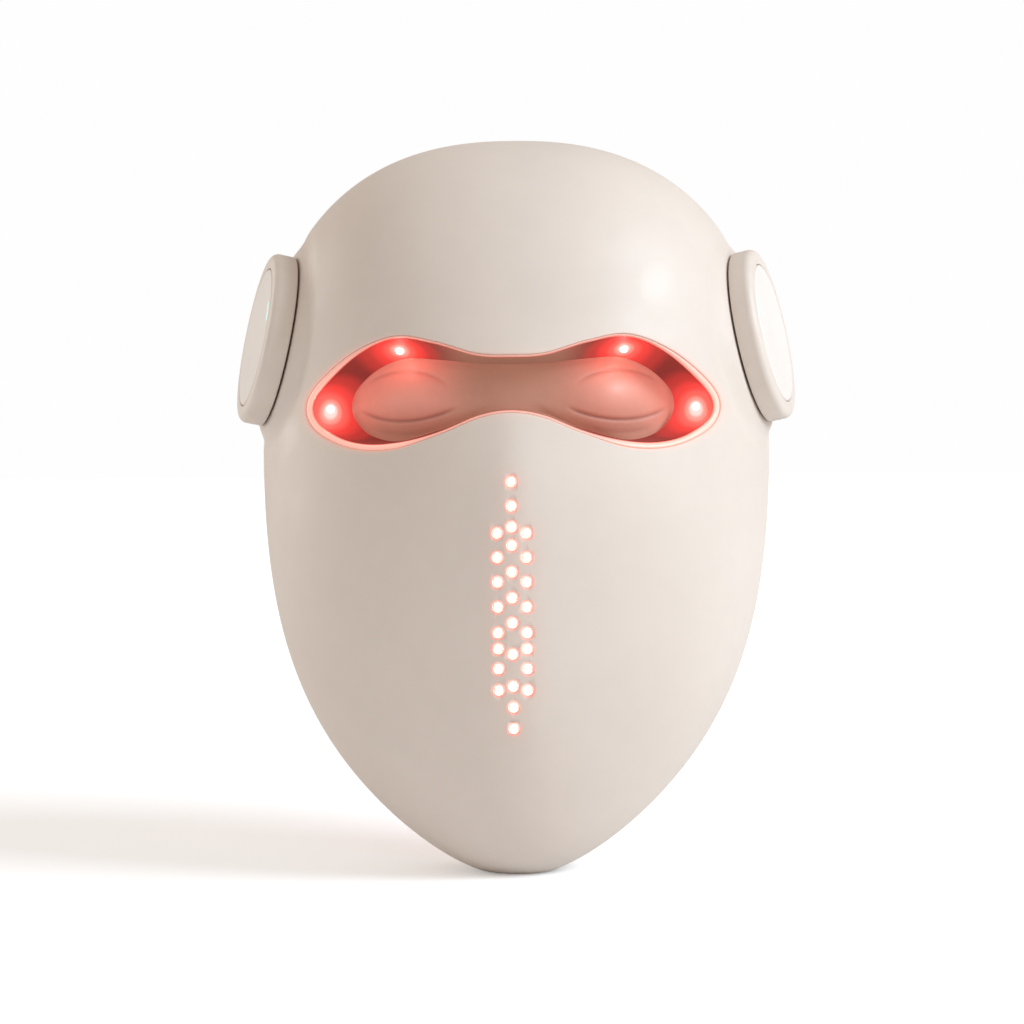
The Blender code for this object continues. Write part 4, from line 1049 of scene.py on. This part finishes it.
def make_pod(side, sign):
    matrix = POD_FRAMES[side]
    pod, button = f"{side}_pod", f"{side}_button"
    rows = moved(matrix, lathe(housing_section()))
    housing = looped(f"{side}_pod_ring", rows, MATERIALS["oat"], pod, sharp=50)
    if side == "right":
        places = [matrix @ contact_matrix(angle) for angle in CONTACT_ANGLES]
        cut(housing, *repeated(rod(*CONTACT_HOLE), 24, places), sharp=50)
    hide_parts(f"{side}_pod_housing")
    make_loop(side, sign, matrix)

    top = POD_HEIGHT + BUTTON_RISE
    under = POD_HEIGHT - FLANGE_WALL - GAP
    flange = BUTTON_RADIUS + COVER_FLANGE
    inner, foot, ceiling = BUTTON_RADIUS - 0.0015, under - COVER_FLANGE_WALL, top - 0.0011
    cover = [
        (0.0, top - 0.0002), (BUTTON_RADIUS * 0.5, top - 0.00012), (BUTTON_RADIUS - 2 * EDGE_ROUND, top),
        *arc_points((BUTTON_RADIUS - EDGE_ROUND, top - EDGE_ROUND), EDGE_ROUND, 90.0, 0.0, 5),
        (BUTTON_RADIUS, under), (flange, under), (flange, foot), (inner, foot), (inner, ceiling),
        (0.0, ceiling),
    ]
    points, faces = capped_lathe(cover, ROUND_STEPS)
    plate = add_mesh(f"{side}_cover_plate", moved(matrix, points), faces, MATERIALS["cover"], button,
                     sharp=50)
    slot_points, slot_faces = bar_shape(INDICATOR_HALF_WIDTH + INDICATOR_ROOM, top - 0.003, top + 0.003,
                                        INDICATOR_TURN + 0.3, sign)
    cut(plate, moved(matrix, slot_points), slot_faces, sharp=50)
    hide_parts(f"{side}_button_cover")
    pipe_points, pipe_faces = bar_shape(INDICATOR_HALF_WIDTH, top - 0.0010, top, INDICATOR_TURN, sign)
    pipe = add_mesh(f"{side}_light_pipe", moved(matrix, pipe_points), pipe_faces, MATERIALS["teal"], button,
                    sharp=40)
    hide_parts(f"{side}_indicator")


# ------------ CAD nodes that stay
def dress_nodes():
    """Give every CAD node that is still shown its own procedural material."""
    wanted = (
        ("panel_screw", "steel"), ("pivot_washer", "steel"), ("pivot_clip", "steel"), ("led_board", "board"),
        ("ribbon_cable", "rubber"), ("pod_base", "oat"), ("pod_board", "green"), ("battery", "foil"),
        ("button_switch", "green"), ("charge_contact", "gold"),
    )
    for name, node in NODES.items():
        for key, made_of in wanted:
            if key in name:
                node.data.materials.clear()
                node.data.materials.append(MATERIALS[made_of])


# ------------ floor, light and camera
FLOOR_HALF = 6.0
FLOOR_DROP = 0.0002
FLOOR_WHITE = (0.90, 0.90, 0.90)
FLOOR_GLOW = (0.28, 0.62)       # what the camera sees of it, near the mask and far away
FLOOR_GLOW_REACH = (0.30, 1.40)
BACKDROP_WHITE = (0.99, 0.99, 0.99)
DOME_COLOUR = (1.0, 0.925, 0.86)
DOME_STRENGTH = 0.61
BOX_HEIGHT = 0.12               # where both round softboxes aim
BOX_DISTANCE = 4.0
BOX_SIZE = 1.7
KEY_PLACE = (70.0, 30.0)        # azimuth and elevation
KEY_COLOUR = (0.76, 0.88, 0.99)
KEY_POWER = 135.0
FILL_PLACE = (-122.0, 12.0)
FILL_COLOUR = (1.0, 0.96, 0.92)
FILL_POWER = 34.0
EYE_POWERS = (0.0016, 0.0008)
EYE_GLOW_COLOUR = (1.0, 0.20, 0.15)
EYE_GLOW_STAND = 0.0034         # how far each small glow floats in front of its eye light
EYE_GLOW_SIZE = 0.0016
CAMERA_PLACE = (1.1, 2.0)       # azimuth and elevation
CAMERA_DISTANCE = 0.760
CAMERA_TARGET = (-0.0012, FRAME_SHIFT, 0.1138 - FRAME_DROP)
CAMERA_ROLL = -0.45
LENS = 85.0
SENSOR = 36.0


def make_floor():
    """White paper that also glows a little for the camera alone, so that it meets the backdrop unseen."""
    corners = [(x * FLOOR_HALF, y * FLOOR_HALF, 0.0) for x, y in ((-1, -1), (1, -1), (1, 1), (-1, 1))]
    mesh = bpy.data.meshes.new("floor")
    mesh.from_pydata(corners, [], [(0, 1, 2, 3)])
    look = Look("floor_paper", FLOOR_WHITE, 0.9, Specular_IOR_Level=0.0)
    look.set("Base Color", look.mottled(FLOOR_WHITE, 0.004, coarse=3.0, fine=40.0))
    look.set("Emission Color", (1.0, 1.0, 1.0))
    seen = look.node("ShaderNodeLightPath")
    glow = look.between(look.apart(look.place, (0.0, 0.0, 0.0)), *FLOOR_GLOW_REACH, *FLOOR_GLOW)
    look.set("Emission Strength", look.math("MULTIPLY", seen.outputs["Is Camera Ray"], glow))
    mesh.materials.append(look.material)
    floor = placed("floor", mesh)
    floor.location.z = -FLOOR_DROP


def make_world():
    """White backdrop for the camera, and a softer warm dome as light."""
    world = bpy.data.worlds.new("studio")
    bpy.context.scene.world = world
    world.use_nodes = True
    tree = world.node_tree
    output = tree.nodes["World Output"]
    dome = tree.nodes["Background"]
    dome.inputs["Color"].default_value = (*DOME_COLOUR, 1.0)
    dome.inputs["Strength"].default_value = DOME_STRENGTH
    backdrop = tree.nodes.new("ShaderNodeBackground")
    backdrop.inputs["Color"].default_value = (*BACKDROP_WHITE, 1.0)
    path = tree.nodes.new("ShaderNodeLightPath")
    mixed = tree.nodes.new("ShaderNodeMixShader")
    tree.links.new(path.outputs["Is Camera Ray"], mixed.inputs[0])
    tree.links.new(dome.outputs[0], mixed.inputs[1])
    tree.links.new(backdrop.outputs[0], mixed.inputs[2])
    tree.links.new(mixed.outputs[0], output.inputs["Surface"])


def add_light(name, kind, place, colour, power, **settings):
    light = bpy.data.lights.new(name, kind)
    light.color = colour
    light.energy = power
    for key, value in settings.items():
        setattr(light, key, value)
    lamp = placed(name, light)
    lamp.location = place
    return lamp


def toward(azimuth, elevation):
    """Direction from the mask to a place given in degrees: azimuth 0 is straight in front."""
    turn, rise = math.radians(azimuth), math.radians(elevation)
    return Vector((math.sin(turn) * math.cos(rise), -math.cos(turn) * math.cos(rise), math.sin(rise)))


def make_softbox(name, place, colour, power):
    """Large round light that looks at the mask and that the camera doesn't see."""
    out = toward(*place)
    middle = Vector((0.0, 0.0, BOX_HEIGHT)) + out * BOX_DISTANCE
    lamp = add_light(name, "AREA", middle, colour, power, shape="DISK", size=BOX_SIZE)
    lamp.rotation_mode = "QUATERNION"
    lamp.rotation_quaternion = out.to_track_quat("Z", "Y")
    lamp.visible_camera = False


def make_lights():
    make_softbox("key", KEY_PLACE, KEY_COLOUR, KEY_POWER)
    make_softbox("fill", FILL_PLACE, FILL_COLOUR, FILL_POWER)
    for sign in (-1, 1):
        for (x, y, z), power in zip(eye_light_places(), EYE_POWERS):
            place = (sign * x, y - EYE_GLOW_STAND, z - FRAME_DROP)
            lamp = add_light("eye_glow", "POINT", place, EYE_GLOW_COLOUR, power,
                             shadow_soft_size=EYE_GLOW_SIZE)
            lamp.visible_glossy = False


def make_camera():
    """Camera of a product portrait: nearly level and straight in front, a touch to the right."""
    out = toward(*CAMERA_PLACE)
    data = bpy.data.cameras.new("camera")
    data.lens = LENS
    data.sensor_width = SENSOR
    camera = placed("camera", data)
    camera.location = Vector(CAMERA_TARGET) + out * CAMERA_DISTANCE
    camera.rotation_mode = "QUATERNION"
    roll = Matrix.Rotation(math.radians(CAMERA_ROLL), 3, "Z").to_quaternion()
    camera.rotation_quaternion = out.to_track_quat("Z", "Y") @ roll
    data.clip_start, data.clip_end = 0.05, 50.0
    bpy.context.scene.camera = camera


MATERIALS = {
    "shell": shell_look(),
    "oat": plastic_look("oat_plastic", OAT),
    "cover": plastic_look("cover_plastic", (0.80, 0.735, 0.680), 0.46, 0.02),
    "rim": rim_look(),
    "bezel": bezel_look(),
    "light": glowing("eye_light", (1.0, 0.90, 0.88), 6.0),
    "bead": glowing("nose_bead", (1.0, 0.93, 0.90), 4.0),
    "strip": glowing("nose_strip", (1.0, 0.22, 0.17), 0.8, (0.9, 0.25, 0.2)),
    "shield": shield_look(),
    "panel": panel_look(),
    "pad": plastic_look("pad_silicone", (0.80, 0.68, 0.61), 0.62, 0.03),
    "rubber": plastic_look("grey_rubber", (0.40, 0.36, 0.34), 0.66, 0.05),
    "teal": glowing("teal_light", (0.30, 0.80, 0.70), 0.75, (0.45, 0.80, 0.74)),
    "steel": metal_look("steel", (0.62, 0.62, 0.63), 0.30),
    "gold": metal_look("pale_gold", (0.74, 0.66, 0.54), 0.34),
    "foil": metal_look("foil", (0.60, 0.61, 0.63), 0.36),
    "green": plastic_look("green_board", (0.04, 0.16, 0.10), 0.40, 0.10),
    "board": plastic_look("white_board", (0.78, 0.78, 0.75), 0.42, 0.04),
}

make_shell()
make_eye_rim()
make_eye_bezel()
make_eye_lights()
make_eye_shield()
make_nose_lights()
make_panel()
for pad_place in PADS:
    make_pad(*pad_place)
make_edge_seal()
make_pod("left", -1)
make_pod("right", 1)
dress_nodes()
make_floor()
make_world()
make_lights()
make_camera()
bpy.context.scene.view_settings.view_transform = "Standard"
